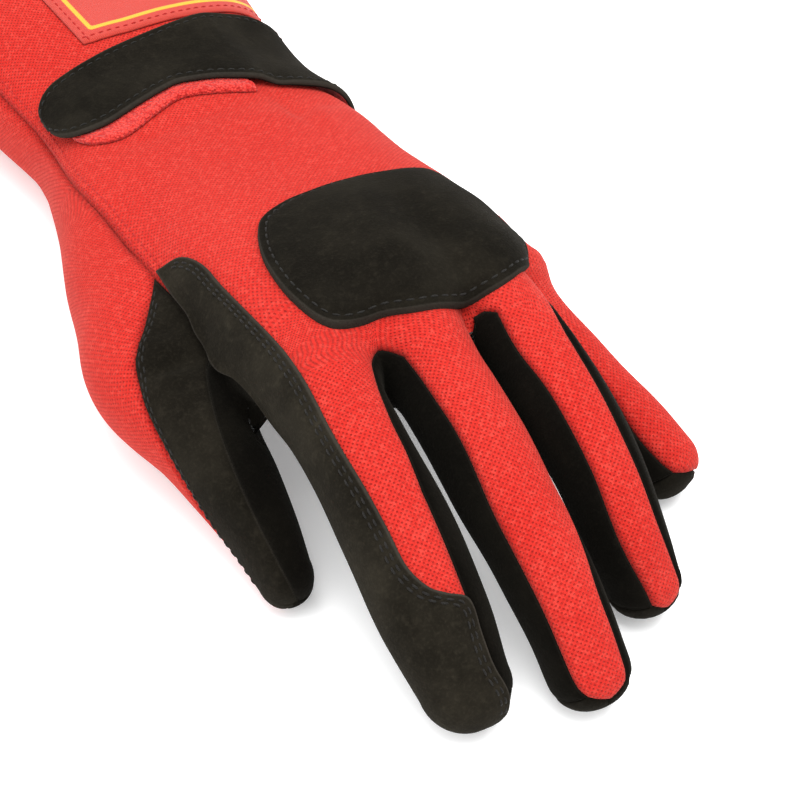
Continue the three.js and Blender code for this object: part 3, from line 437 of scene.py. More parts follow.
gauntletUnder = [np.array([underRow(*r) for r in cuffRows + [(4, 162)]])]
thumbUpper = [latticeThrough("thumb", [
    [(2.42, 77), (2.42, 77)], [(2.9, 89), ("valley", 1)], [(3.3, 119), ("valley", 2)],
    [(3.8, 144), ("valley", 3)], [(4.1, 156), (3.9, 77)], [(4.4, 172), (4.3, 91)], [(5.0, 206), (4.8, 103)],
    [(5.5, 226), (5.4, 107)], [(6.0, 236), (6.0, 106)], [(6, 245, 45), (6, 105, 45)],
    [(6, 245, 90), (6, 105, 90)],
], 3)]
thumbTipAngles = (105, 74, 42, 11, -20, -52, -84, -115)
thumbInner = [np.array([[lineAt(p if p[0] == "valley" else ("thumb", *p)) for p in row] for row in [
    [("valley", 3), ("valley", 5), ("valley", 6), (4.0, 20), (3.6, 3), (3.1, -10), (2.78, -40), (2.5, -70)],
    [(3.9, 77), (4.2, 66), (4.6, 45), (4.4, 18), (4.1, -2), (3.7, -22), (3.3, -46), (2.9, -70)],
    [(4.3, 91), (4.6, 70), (4.9, 44), (4.8, 18), (4.6, -5), (4.3, -28), (3.9, -50), (3.4, -70)],
    [(4.8, 103), (5.0, 78), (5.1, 52), (5.1, 26), (5.0, 0), (4.8, -25), (4.5, -49), (4.2, -72)],
    [(5.4, 107), (5.4, 81), (5.4, 56), (5.4, 30), (5.4, 4), (5.3, -22), (5.2, -47), (5.0, -72)],
    [(5.7, 106), (5.7, 80), (5.7, 55), (5.7, 29), (5.7, 3), (5.6, -22), (5.6, -47), (5.5, -72)],
    [(6, 106), (6, 80), (6, 54), (6, 28), (6, 3), (6, -23), (6, -49), (6, -74)],
    *([(6, angle, tilt) for angle in thumbTipAngles] for tilt in (45, 90))]])]
indexCover = [latticeThrough("index", [
    [("thumb", 2.42, 77), ("thumb", 2.42, 77)], [("valley", 0), (0.8, 138)], [("valley", 1), (1.05, 129)],
    [("valley", 2), (1.45, 126)], [("valley", 3), (1.85, 122)], [("valley", 4), (2.25, 118)],
    [("valley", 5), (2.5, 116)], [("valley", 6), (2.75, 115)], [(3.0, 213), (3.1, 115)],
    [(3.5, 210), (3.5, 117)], [(4.0, 203), (4.0, 117)], [(4.5, 201), (4.5, 115)], [(5.0, 200), (5.0, 113)],
    [(5.5, 200), (5.4, 111)], [(5.9, 202), (5.65, 100)], [(6.2, 205), (5.78, 84)], [(6.5, 208), (5.92, 64)],
    [(6.8, 212), (6.3, 66)], [(7, 215), (6.7, 66)], [(7, 222, 20), (7, 62)], [(7, 232, 45), (7, 52, 35)],
    [(7, 245, 70), (7, 40, 65)], [(7, 245, 90), (7, 40, 90)],
], 5)]
padOutline = np.array([
    (-23.2, 20.6, 52), (-16.8, 23.4, 51.5), (-10.1, 24.3, 51.2), (-3.5, 25, 50.5), (3.2, 25.6, 49.3),
    (9.5, 25.2, 48.4), (16.2, 25.5, 46.5), (20, 25.2, 45), (22.6, 22, 44.4), (24.2, 14.5, 44.8),
    (26.4, 8.1, 44.5), (28.2, 1, 43), (28, -7, 43.4), (25.8, -16.5, 45.5), (17.5, -23.3, 52.4),
    (11, -25.7, 53.1), (4.7, -25.9, 50.8), (-2, -26.8, 53), (-10.3, -26.1, 54.9), (-17.5, -23.2, 54),
    (-24.8, -22.1, 54.8), (-28.7, -18.8, 55.5), (-30.9, -10.5, 55.4), (-31.2, -2, 54.8), (-30, 7, 53.9),
    (-26.8, 16, 52.8),
])
padCentre = np.array([0, 1, 52.0])


# A band across the hand: at each angle one row of lines from its top to its bottom.
def bandRows(rows, steps):
    return [latticeThrough("hand", [[(top, angle), (bottom, angle)] for angle, top, bottom in rows], steps)]


strapRows = [
    (156.5, 2.9, 3.1), (155.5, 2.77, 3.22), (153.5, 2.68, 3.36), (150.5, 2.61, 3.48), (146, 2.56, 3.57),
    (139, 2.54, 3.6), (129, 2.52, 3.54), (118, 2.5, 3.48), (107, 2.49, 3.44), (96, 2.48, 3.42),
    (84, 2.47, 3.47), (72, 2.46, 3.54), (62, 2.45, 3.62), (54, 2.44, 3.67), (48, 2.44, 3.69),
    (42.5, 2.45, 3.72), (37, 2.47, 3.77), (30, 2.5, 3.83), (20, 2.56, 3.88), (8, 2.6, 3.92), (-4, 2.65, 3.94),
]
strapDips = [0] * 14 + [0.2, 0.7, 1, 1.05, 0.8, 0.8, 0.8]
tapeRows = [
    (152.5, 3.2, 3.45), (150, 2.8, 3.62), (146, 2.7, 3.75), (140, 2.65, 3.8), (133, 2.62, 3.75),
    (125, 2.6, 3.68), (115, 2.6, 3.62), (102, 2.6, 3.57), (90, 2.6, 3.6), (78, 2.6, 3.67), (69, 2.65, 3.73),
    (60, 2.8, 3.79), (55, 3, 3.81), (51, 3.4, 3.82),
]
labelRows = [
    (124.5, 0.75, 2.17), (119, 0.75, 2.19), (111, 0.75, 2.21), (102, 0.75, 2.23), (93, 0.75, 2.25),
    (84, 0.75, 2.26), (74, 0.75, 2.27), (63, 0.75, 2.28), (52, 0.75, 2.3), (40, 0.75, 2.32), (28, 0.75, 2.34),
    (16, 0.75, 2.36), (6, 0.75, 2.37),
]
print("lattices ready")


# Lattice lines between the control lines: smooth along the rows, straight across the columns.
def spread(lattice, rowPlaces, columnPlaces):
    rows = curveThrough(lattice, rowPlaces)
    i = np.clip(np.floor(columnPlaces).astype(int), 0, lattice.shape[1] - 2)
    f = columnPlaces - i
    f = f.reshape((1, -1) + (1,) * (lattice.ndim - 2))
    return rows[:, i] * (1 - f) + rows[:, i + 1] * f


# Places for spread: rows about the spacing apart; columns even, or crowded towards every fourth line.
def placesFor(lattice, points, spacing, columnSteps, cluster):
    lengths = np.linalg.norm(np.diff(points, axis=0), axis=-1).mean(axis=1)
    rows = [i + np.arange(n) / n for i, n in enumerate(np.maximum(np.ceil(lengths / spacing), 2).astype(int))]
    shares = np.arange(columnSteps) / columnSteps
    columns = []
    for k in range(lattice.shape[1] - 1):
        near = shares * (0.5 + 0.5 * shares) if cluster and k % 4 == 0 else shares
        far = 1 - (1 - shares) * (0.5 + 0.5 * (1 - shares)) if cluster and k % 4 == 3 else near
        columns.append(k + far)
    return np.concatenate(rows + [[len(points) - 1.0]]), np.concatenate(columns + [[lattice.shape[1] - 1.0]])


# Points a run along their lines.
def pointsOn(lines, run):
    return lines[..., :3] + lines[..., 3:6] * run[..., None]


# Each vertex's distance to the nearest point of the rim, in blocks.
def rimDistance(points, rimPoints, size=3000):
    found = np.empty(len(points))
    for start in range(0, len(points), size):
        block = points[start:start + size]
        squared = (block**2).sum(1)[:, None] + (rimPoints**2).sum(1)[None] - 2 * block @ rimPoints.T
        found[start:start + size] = np.sqrt(np.maximum(squared.min(axis=1), 0))
    return found


# Lengths run along points, from 0.
def runAlong(points):
    return np.concatenate([[0], np.cumsum(np.linalg.norm(np.diff(points, axis=0), axis=1))])


# The sum of the values that share an index.
def gatherAt(size, index, values):
    return np.stack([np.bincount(index, values[:, k], size) for k in range(3)], axis=1)


# Cross product of two sides of each triangle: its normal, as long as twice its area.
def faceNormals(points, faces):
    a, b, c = (points[faces[:, k]] for k in range(3))
    return np.cross(b - a, c - a)


def vertexNormals(points, faces):
    normal = faceNormals(points, faces)
    return unit(sum(gatherAt(len(points), faces[:, k], normal) for k in range(3)))


# Soft unevenness of worn cloth: a sum of sine waves in seeded directions, the longer the taller.
rng = np.random.default_rng(17)
waveCount, shortest, longest = 26, 11, 55
waveDirections = unit(rng.normal(size=(waveCount, 3)))
waveLengths = rng.uniform(shortest, longest, waveCount)
wavePhases = rng.uniform(0, 2 * math.pi, waveCount)


def unevenness(points):
    turns = points @ (waveDirections / waveLengths[:, None]).T * 2 * math.pi + wavePhases
    return (np.sin(turns) * (waveLengths / longest) ** 0.8).sum(axis=1) / math.sqrt(waveCount)


# Creases: a point on it, its direction, its half length and half width, and its depth; mm
creases = np.array([
    (-59, 8, 36, 0.75, -0.6, 0.1, 11, 1.5, 0.9), (-56, -4, 33, 0.8, -0.3, -0.4, 9, 1.6, 0.6),
    (9, 80, 39, 0.4, 0.9, 0.0, 9, 2.4, 0.7), (14, 68, 37, 0.9, 0.3, -0.3, 10, 2.6, 0.6),
    (-47, 64, 27, 0.2, 0.8, -0.5, 16, 4.0, 0.7), (-20, 74, 40, 1.0, 0.1, 0.0, 16, 3.0, 0.35),
    (-52, 44, 33, 0.5, 0.8, 0.2, 15, 4.0, 0.5), (-34, -38, 51, 1.0, 0.0, 0.0, 9, 1.8, 0.3),
    (-8, -40, 49, 1.0, 0.1, 0.0, 9, 1.6, 0.3), (13, -40, 48, 1.0, -0.1, 0.0, 8, 1.6, 0.3),
    (-33, -62, 42, 1.0, 0.0, 0.0, 9, 1.4, 0.25), (-8, -60, 42, 1.0, 0.0, 0.0, 9, 1.4, 0.25),
    (-42, 24, 44, 0.3, 0.9, 0.1, 14, 5.0, -0.5), (-56.5, 2.6, 34.8, 0.95, -0.25, 0.05, 8, 1.3, 1.6),
    (-56.5, 7.5, 35.5, 0.95, -0.25, 0.0, 8, 3.4, -1.1), (6.5, 69, 39.5, 0.0, 1.0, -0.1, 9, 2.2, 1.1),
    (12, 62, 38.5, 0.2, 0.95, -0.1, 12, 3.0, -0.5),
], float)


# Depth pressed in by the creases: a bell across each one and a bell along it.
def creaseDepth(points):
    total = np.zeros(len(points))
    for c in creases:
        v = points - c[:3]
        direction = c[3:6] / np.linalg.norm(c[3:6])
        along = v @ direction
        across = np.sqrt(np.maximum((v**2).sum(1) - along**2, 0))
        total += c[8] * np.exp(-(along / c[6]) ** 2 - (across / c[7]) ** 2)
    return total


slackness = 0.28


# Points moved along their normals: out by the slack times the unevenness, in by the creases.
def worn(points, normals):
    return points + normals * (slackness * unevenness(points) - creaseDepth(points))[:, None]


# A mesh of triangles as a piece on the one body; the weave in metres is its UV map, and rim an attribute.
def putMesh(name, points, faces, materials, faceMaterial=None, cornerUv=None, rim=None):
    mesh = bpy.data.meshes.new(name)
    mesh.vertices.add(len(points))
    mesh.vertices.foreach_set("co", ((points + seat) * mm).astype(np.float32).ravel())
    mesh.loops.add(faces.size)
    mesh.loops.foreach_set("vertex_index", faces.astype(np.int32).ravel())
    mesh.polygons.add(len(faces))
    mesh.polygons.foreach_set("loop_start", np.arange(len(faces), dtype=np.int32) * faces.shape[1])
    if faceMaterial is not None:
        mesh.polygons.foreach_set("material_index", faceMaterial.astype(np.int32))
    mesh.polygons.foreach_set("use_smooth", np.ones(len(faces), bool))
    mesh.update(calc_edges=True)
    if cornerUv is not None:
        layer = mesh.uv_layers.new(name="weave")
        layer.data.foreach_set("uv", (cornerUv * mm).astype(np.float32).ravel())
    if rim is not None:
        attribute = mesh.attributes.new("rim", "FLOAT", "POINT")
        attribute.data.foreach_set("value", (rim * mm).astype(np.float32))
    piece = putObject(name, mesh)
    for material in materials:
        mesh.materials.append(material)
    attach(piece, "root")
    return piece


# Grids of points on the skin at two levels, for a lattice in one or more blocks of rows.
def layLattice(lattice, levels, spacing, columnSteps, cluster, extraBlend, rise):
    low, high = levels
    blocks = []
    for part in lattice:
        coarse = pointsOn(part, runTo(part, high, extraBlend))
        rowPlaces, columnPlaces = placesFor(part, coarse, spacing, columnSteps, cluster)
        lift = 0 if rise is None else spread(rise, rowPlaces, columnPlaces)
        outer, outward = settle(spread(coarse, rowPlaces, columnPlaces), high + lift, extraBlend)
        inner, outward = settle(outer - outward * (high - low), low + lift, extraBlend, 2)
        skip = 1 if blocks else 0
        blocks.append((outer[skip:], inner[skip:]))
    return [np.concatenate([b[k] for b in blocks]) for k in (0, 1)]


# Where the weave lies on a grid: the run across from its middle column, and the run down that column.
def weavePlaces(grid):
    middle = grid.shape[1] // 2
    steps = np.linalg.norm(np.diff(grid, axis=1), axis=2)
    across = np.concatenate([np.zeros((len(grid), 1)), np.cumsum(steps, axis=1)], axis=1)
    across = across - across[:, middle:middle + 1] + grid[0, middle, 0]
    down = np.broadcast_to(runAlong(grid[:, middle])[:, None] - grid[0, middle, 1], across.shape)
    return np.stack([across, down], -1).reshape(-1, 2)


# Edges that only one triangle uses, and their corners' numbers.
def loneEdges(faces, corners, size):
    pairs = ([0, 1], [1, 2], [2, 0])
    edges, edgeCorners = (np.concatenate([array[:, pair] for pair in pairs]) for array in (faces, corners))
    lone = ~np.isin(edges[:, 0] * size + edges[:, 1], edges[:, 1] * size + edges[:, 0])
    return edges[lone], edgeCorners[lone]


# Pull of each rim point into the sheet: towards its triangles' middles, square to the rim and to the normal.
def rimPull(points, faces, normals, rimEdges):
    size = len(points)
    centroid = points[faces].mean(axis=1)
    pull = sum(gatherAt(size, faces[:, k], centroid - points[faces[:, k]]) for k in range(3))
    direction = unit(points[rimEdges[:, 1]] - points[rimEdges[:, 0]])
    tangent = unit(gatherAt(size, rimEdges[:, 0], direction) + gatherAt(size, rimEdges[:, 1], direction))
    pull = pull - tangent * (pull * tangent).sum(1, keepdims=True)
    return unit(pull - normals * (pull * normals).sum(1, keepdims=True))


wallRings = 2  # rings of points between a sheet's two sides


# A sheet with thickness. Its lattices are carried out to two levels of the skin, joined where they share
# lines, pressed in along the rim and the stitch lines, and closed round the rim by a rounded wall.
def makeSheet(name, node, lattices, outside, levels, lining="lining", spacing=1.2, columnSteps=6,
              extraBlend=0.0, roll=(0.9, 1.8), bulge=0.0, draw=0.02, channels=(), cluster=False, relief=None,
              rise=None, join=False):
    tops, bottoms, uvs, faces, grids, count = [], [], [], [], [], 0
    for lattice in lattices:
        outer, inner = layLattice(lattice, levels, spacing, columnSteps, cluster, extraBlend, rise)
        rows, columns = outer.shape[:2]
        if not grids:
            parting = (outer[-1], inner[-1])
        elif join:  # starts on its own stretch of the first grid's last row
            first = (len(grids) - 1) * (columns - 1) * fingerStride // (fingerLines - 1)
            outer[0], inner[0] = (row[first:first + columns] for row in parting)
        uvs.append(weavePlaces(outer))
        index = count + np.arange(rows * columns).reshape(rows, columns)
        a, b, c, d = index[:-1, :-1], index[1:, :-1], index[1:, 1:], index[:-1, 1:]
        faces += [np.stack([a, b, c], -1).reshape(-1, 3), np.stack([a, c, d], -1).reshape(-1, 3)]
        tops.append(outer.reshape(-1, 3))
        bottoms.append(inner.reshape(-1, 3))
        grids.append(index)
        count += rows * columns
    outer, inner, uv, corners = (np.concatenate(parts) for parts in (tops, bottoms, uvs, faces))
    chosen, merged = np.unique(np.round(outer, 4), axis=0, return_index=True, return_inverse=True)[1:]
    merged = merged.reshape(-1)
    outer, inner = outer[chosen], inner[chosen]
    faces = merged[corners]
    whole = (faces[:, 0] != faces[:, 1]) & (faces[:, 1] != faces[:, 2]) & (faces[:, 2] != faces[:, 0])
    faces, corners = faces[whole], corners[whole]
    if (faceNormals(outer, faces) * (outer - inner)[faces[:, 0]]).sum() < 0:
        faces, corners = faces[:, ::-1], corners[:, ::-1]
    size = len(outer)
    rimEdges, rimCorners = loneEdges(faces, corners, size)
    rimPoints = np.unique(rimEdges)
    normals = vertexNormals(outer, faces)
    distance = rimDistance(outer, outer[rimPoints])
    rollDepth, rollWidth = roll
    pressed = rollDepth * np.clip(1 - distance / rollWidth, 0, 1) ** 2
    for inset, depth, width in channels:
        pressed = pressed + depth * np.exp(-((distance - inset) / width) ** 2)
    outer, inner = worn(outer, normals), worn(inner, normals)
    outer = outer - normals * pressed[:, None]
    if relief is not None:
        outer = outer + normals * relief(outer, distance)[:, None]
    pull = rimPull(outer, faces, normals, rimEdges)[rimPoints]
    outer[rimPoints] += pull * draw
    inner[rimPoints] += pull * draw
    rings = [outer[rimPoints] * (1 - s) + inner[rimPoints] * s - pull * bulge * math.sin(math.pi * s)
             for s in np.arange(1, wallRings + 1) / (wallRings + 1)]
    place = np.full(size, -1)
    place[rimPoints] = np.arange(len(rimPoints))
    levelNumbers = [2 * size + k * len(rimPoints) + place for k in range(wallRings)]
    levelNumbers = [np.arange(size)] + levelNumbers + [np.arange(size) + size]
    a, b = rimEdges[:, 0], rimEdges[:, 1]
    wallFaces, wallCorners = [], []
    for first, second in zip(levelNumbers, levelNumbers[1:]):
        wallFaces.append(np.stack([first[b], first[a], second[a]], -1))
        wallFaces.append(np.stack([first[b], second[a], second[b]], -1))
        wallCorners += [rimCorners[:, [1, 0, 0]], rimCorners[:, [1, 0, 1]]]
    allPoints = np.concatenate([outer, inner] + rings)
    allFaces = np.concatenate([faces, faces[:, ::-1] + size] + wallFaces)
    allCorners = np.concatenate([corners, corners[:, ::-1]] + wallCorners)
    kinds = np.zeros(len(allFaces))
    kinds[len(faces):2 * len(faces)] = 1  # the inside takes the lining
    rim = np.concatenate([distance, np.maximum(distance, 3), np.zeros(len(rimPoints) * wallRings)])
    piece = putMesh(name, allPoints, allFaces, [finishes[outside], finishes[lining]], kinds,
                    uv[allCorners].reshape(-1, 2), rim)
    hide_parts(node)
    area = 0.5 * np.linalg.norm(faceNormals(outer, faces), axis=1).sum()
    print(name, len(allFaces), "triangles,", round(area / 100, 1), "square cm")
    flat = tuple(float(v) for v in (uv.max(axis=0) - uv.min(axis=0)) * mm)
    return {"piece": piece, "area": area * mm**2, "flat": flat,
            "grid": outer[merged[grids[0]]], "normals": normals[merged[grids[0]]]}


# One stitch: rings of a rounded thread along its length, closed by a point at each end; radius 1, length 1
stitchRings, stitchSides = 5, 6
ringShares = np.linspace(0.08, 0.92, stitchRings)
ringRadii = np.sqrt(1 - np.abs(2 * ringShares - 1) ** 3)
stitchFaces = []
for i in range(stitchRings - 1):
    for j in range(stitchSides):
        a, b = i * stitchSides + j, i * stitchSides + (j + 1) % stitchSides
        stitchFaces += [(a, b, b + stitchSides), (a, b + stitchSides, a + stitchSides)]
poles = (stitchRings * stitchSides, stitchRings * stitchSides + 1)
lastRing = (stitchRings - 1) * stitchSides
for j in range(stitchSides):
    nextOne = (j + 1) % stitchSides
    stitchFaces += [(poles[0], nextOne, j), (poles[1], lastRing + j, lastRing + nextOne)]
stitchFaces = np.array(stitchFaces)


# Stitches along paths on a surface: each follows the path, bowed so that its ends dip into the cloth.
def stitchRun(paths, pitch, length, radius, lift=0.12, dip=0.3):
    allPoints, total = [], 0
    for points, normals in paths:
        run = runAlong(points)
        count = int(run[-1] // pitch)
        if count < 1:
            continue
        centres = (np.arange(count) + 0.5) * run[-1] / count
        shares = np.concatenate([ringShares, [0.0, 1.0]])
        places = centres[:, None] + (shares - 0.5) * length
        ends = centres[:, None] + np.array([-0.3, 0.3]) * length
        at, up, reach = (np.stack([np.interp(where, run, what[:, k]) for k in range(3)], -1)
                         for where, what in ((places, points), (places, normals), (ends, points)))
        up = unit(up)
        tangent = unit(np.gradient(reach, axis=1)[:, :1])
        side = unit(np.cross(tangent, up))
        centreLine = at + up * (lift - dip * (2 * shares - 1) ** 2)[None, :, None]
        turn = np.arange(stitchSides)[:, None] * 2 * math.pi / stitchSides
        around = side[:, :stitchRings, None] * np.cos(turn) + up[:, :stitchRings, None] * np.sin(turn)
        rings = centreLine[:, :stitchRings, None] + around * (radius * ringRadii)[None, :, None, None]
        allPoints.append(np.concatenate([rings.reshape(count, -1, 3), centreLine[:, stitchRings:]], axis=1))
        total += count
    stacked = np.concatenate(allPoints)
    faces = (stitchFaces[None] + (np.arange(total) * stacked.shape[1])[:, None, None]).reshape(-1, 3)
    return stacked.reshape(-1, 3), faces


# A path on a sheet's first grid at a set distance in from its left, right, top or bottom side.
def insetPath(made, side, inset, rows=None, closest=0.02):
    grid, normals = made["grid"], made["normals"]
    if side in ("top", "bottom"):
        grid, normals = grid.transpose(1, 0, 2), normals.transpose(1, 0, 2)
    if side in ("right", "bottom"):
        grid, normals = grid[:, ::-1], normals[:, ::-1]
    points, ups = [], []
    for row, up in list(zip(grid, normals))[slice(*(rows or (None,)))]:
        run = runAlong(row)
        if run[-1] < 2.1 * inset:  # too narrow for a row of stitches
            continue
        points.append([np.interp(inset, run, row[:, k]) for k in range(3)])
        ups.append([np.interp(inset, run, up[:, k]) for k in range(3)])
    points, ups = np.array(points), unit(np.array(ups))
    apart = np.concatenate([[True], np.linalg.norm(np.diff(points, axis=0), axis=1) > closest])
    return points[apart], ups[apart]


# A value in a material's node tree that takes part in sums: each sign adds the Math node of its name.
class Value:
    def __init__(self, finish, socket):
        self.finish, self.socket = finish, socket

    def maths(self, operation, *others):
        return self.finish.add("ShaderNodeMath", {"operation": operation}, others)

    def __add__(self, other):
        return self.maths("ADD", self, other)

    def __radd__(self, other):
        return self.maths("ADD", other, self)

    def __sub__(self, other):
        return self.maths("SUBTRACT", self, other)

    def __rsub__(self, other):
        return self.maths("SUBTRACT", other, self)

    def __mul__(self, other):
        return self.maths("MULTIPLY", self, other)

    def sine(self):
        return self.maths("SINE", self)

    def below(self, other):
        return self.maths("MINIMUM", self, other)

    # 0 up to low, 1 from high on, smooth between
    def between(self, low, high):
        settings = {"interpolation_type": "SMOOTHSTEP"}
        return self.finish.add("ShaderNodeMapRange", settings, {0: self, 1: low, 2: high, 3: 0.0, 4: 1.0})


# A material: its Principled shader, and the nodes that feed it.
class Finish:
    def __init__(self, name, **constants):
        self.material = bpy.data.materials.new(name)
        self.material.use_nodes = True
        self.tree = self.material.node_tree
        self.tree.nodes.clear()
        self.output = self.tree.nodes.new("ShaderNodeOutputMaterial")
        self.shader = self.tree.nodes.new("ShaderNodeBsdfPrincipled")
        self.tree.links.new(self.shader.outputs[0], self.output.inputs[0])
        for key, value in constants.items():
            self.shader.inputs[key.replace("_", " ")].default_value = value

    def add(self, kind, settings=None, inputs=(), output=0):
        node = self.tree.nodes.new(kind)
        for key, value in (settings or {}).items():
            setattr(node, key, value)
        for key, value in (inputs.items() if isinstance(inputs, dict) else enumerate(inputs)):
            if isinstance(value, Value):
                self.tree.links.new(value.socket, node.inputs[key])
            else:
                node.inputs[key].default_value = value
        return Value(self, node.outputs[output])

    def feed(self, name, value):
        self.tree.links.new(value.socket, self.shader.inputs[name])

    def mix(self, factor, first, second):
        return self.add("ShaderNodeMix", {"data_type": "RGBA"}, {0: factor, 6: first, 7: second}, 2)

    def place(self):
        return self.add("ShaderNodeTexCoord", output=3)

    def weave(self):
        node = self.add("ShaderNodeUVMap", {"uv_map": "weave"})
        split = self.add("ShaderNodeSeparateXYZ", {}, [node])
        return split, Value(self, split.socket.node.outputs[1])

    def rim(self):
        return self.add("ShaderNodeAttribute", {"attribute_name": "rim"}, output=2)

    def noise(self, scale, detail=2.0, roughness=0.5, place=None):
        inputs = {"Vector": place or self.place(), "Scale": scale, "Detail": detail, "Roughness": roughness}
        return self.add("ShaderNodeTexNoise", {}, inputs)

    def bump(self, height, distance, strength=1.0):
        inputs = {"Strength": strength, "Distance": distance, "Height": height}
        self.feed("Normal", self.add("ShaderNodeBump", {}, inputs))


# Red knit: small staggered holes where two sine waves across and along the cloth peak together, over fibres,
# with painted shade darkening it along its rim as a shadow line at the seams.
knit = {"colour": (0.395, 0.0145, 0.0095, 1), "deep": (0.14, 0.002, 0.002, 1),
        "pale": (0.50, 0.042, 0.030, 1), "sheen": (1.0, 0.35, 0.28, 1), "across": 0.62, "along": 0.60,
        "hole": 0.46, "depth": 0.00020}


def makeKnit(name):
    f = Finish(name, Roughness=0.92, Sheen_Weight=0.12, Sheen_Roughness=0.5, Specular_IOR_Level=0.12,
               Sheen_Tint=knit["sheen"])
    u, v = f.weave()
    sway = f.noise(210.0, 1.0) - 0.5
    product = ((u * (math.pi / (knit["across"] * mm)) + sway * 0.9).sine()
               * (v * (math.pi / (knit["along"] * mm)) + sway * 0.7).sine())
    hole = product.between(0.25, 0.95)
    fibre = f.noise(2100.0, 2.0, 0.65)
    speckle = f.noise(900.0, 2.0, 0.6)
    patchy = f.noise(38.0, 3.0, 0.55)
    # Painted shade: the knit darkens within about 2 mm of its rim, the shadow line of the seams.
    edge = 1 - f.rim().between(0.0002, 0.0022)
    pale = ((patchy - 0.35) * 0.5 + speckle.between(0.45, 0.68) * 0.6).below(1.0)
    # The deep red takes the holes, the darker fibres and the painted seam shade.
    deep = (hole * knit["hole"] + (1 - fibre.between(0.3, 0.6)) * 0.34 + edge * 0.34).below(0.9)
    f.feed("Base Color", f.mix(deep, f.mix(pale, knit["colour"], knit["pale"]), knit["deep"]))
    f.bump(fibre * 0.35 - hole, knit["depth"])
    return f.material


# Suede: near black, mottled by the lie of the nap, paler where the edge is cut.
suede = {"colour": (0.0060, 0.0050, 0.0034), "brushed": (0.0250, 0.0212, 0.0148),
         "cut": (0.045, 0.040, 0.033, 1), "sheen": (0.75, 0.68, 0.55, 1), "grain": 1500.0, "depth": 0.00020}


def makeSuede(name, lighter=1.0, cutWidth=0.0006, cutShare=0.6):
    f = Finish(name, Roughness=0.96, Sheen_Weight=0.02, Sheen_Roughness=0.6, Specular_IOR_Level=0.03,
               Sheen_Tint=suede["sheen"])
    nap = f.noise(60.0, 4.0, 0.6)
    grain = f.noise(suede["grain"], 3.0, 0.65)
    speck = f.noise(suede["grain"] * 0.33, 2.0, 0.6)
    base, brushed = (tuple(c * lighter for c in suede[key]) + (1,) for key in ("colour", "brushed"))
    lie = nap.between(0.35, 0.75) * 0.45 + grain.between(0.45, 0.8) * 0.35 + speck.between(0.5, 0.8) * 0.3
    cut = (1 - f.rim().between(cutWidth * 0.5, cutWidth * 1.5)) * (0.45 + grain * 0.5) * cutShare
    f.feed("Base Color", f.mix(cut, f.mix(lie.below(1.0), base, brushed), suede["cut"]))
    f.bump(grain + speck * 0.7, suede["depth"])
    return f.material


# Loop tape: red loops as small cells, each standing up from a darker ground.
loops = {"colour": (0.60, 0.040, 0.029, 1), "ground": (0.36, 0.012, 0.010, 1), "tips": (0.62, 0.12, 0.09, 1),
         "cells": 1500.0, "depth": 0.0005}


def makeLoops(name):
    f = Finish(name, Roughness=0.9, Sheen_Weight=0.1, Specular_IOR_Level=0.15)
    cells = f.add("ShaderNodeTexVoronoi", {"feature": "F1"}, {"Vector": f.place(), "Scale": loops["cells"]})
    fibre = f.noise(2400.0, 2.0, 0.6)
    tone = f.mix(cells.between(0.25, 0.75), loops["colour"], loops["ground"])
    f.feed("Base Color", f.mix(fibre.between(0.5, 0.75) * 0.35, tone, loops["tips"]))
    f.bump(fibre * 0.5 - cells, loops["depth"])
    return f.material


# Woven label: fine red ribs with one thin yellow line set in from its edge; metres.
label = {"inset": 0.0041, "half": 0.00058, "ribs": (0.00045, 0.0006), "depth": 0.0001,
         "line": (0.66, 0.40, 0.02, 1), "colour": (0.50, 0.036, 0.020, 1), "patch": (0.44, 0.026, 0.014, 1),
         "groove": (0.18, 0.006, 0.005, 1)}
lining = {"ribs": (0.0011, 0.0009), "depth": 0.00012}


# Ribs across and along the weave: the product of two sine waves of the given lengths.
def ribsOf(finish, lengths):
    u, v = finish.weave()
    return (u * (2 * math.pi / lengths[0])).sine() * (v * (2 * math.pi / lengths[1])).sine()


def makeLabel(name):
    f = Finish(name, Roughness=0.7, Sheen_Weight=0.1, Specular_IOR_Level=0.35)
    ribs = ribsOf(f, label["ribs"])
    away = f.rim() - label["inset"]
    line = 1 - away.maths("ABSOLUTE", away).between(label["half"] * 0.7, label["half"] * 1.3)
    tone = f.mix(line, f.mix(f.noise(90.0, 2.0) * 0.5, label["colour"], label["patch"]), label["line"])
    f.feed("Base Color", f.mix((ribs * 0.5 + 0.5) * 0.15, tone, label["groove"]))
    f.bump(ribs + line * 1.5, label["depth"])
    return f.material


# Thread: two tones mixed by a fine noise.
def makeThread(name, colour, light):
    f = Finish(name, Roughness=0.7, Sheen_Weight=0.05, Specular_IOR_Level=0.15)
    twist = f.noise(5200.0, 2.0, 0.6)
    f.feed("Base Color", f.mix(twist.between(0.35, 0.75), colour, light))
    f.bump(twist, 0.00006)
    return f.material


# Lining: two dark tones mixed by noise and ribs.
def makeLining(name, colour, light):
    f = Finish(name, Roughness=0.95, Sheen_Weight=0.2, Specular_IOR_Level=0.2)
    ribs = ribsOf(f, lining["ribs"])
    f.feed("Base Color", f.mix(f.noise(900.0, 3.0, 0.6) * 0.6 + (ribs * 0.5 + 0.5) * 0.3, colour, light))
    f.bump(ribs, lining["depth"])
    return f.material


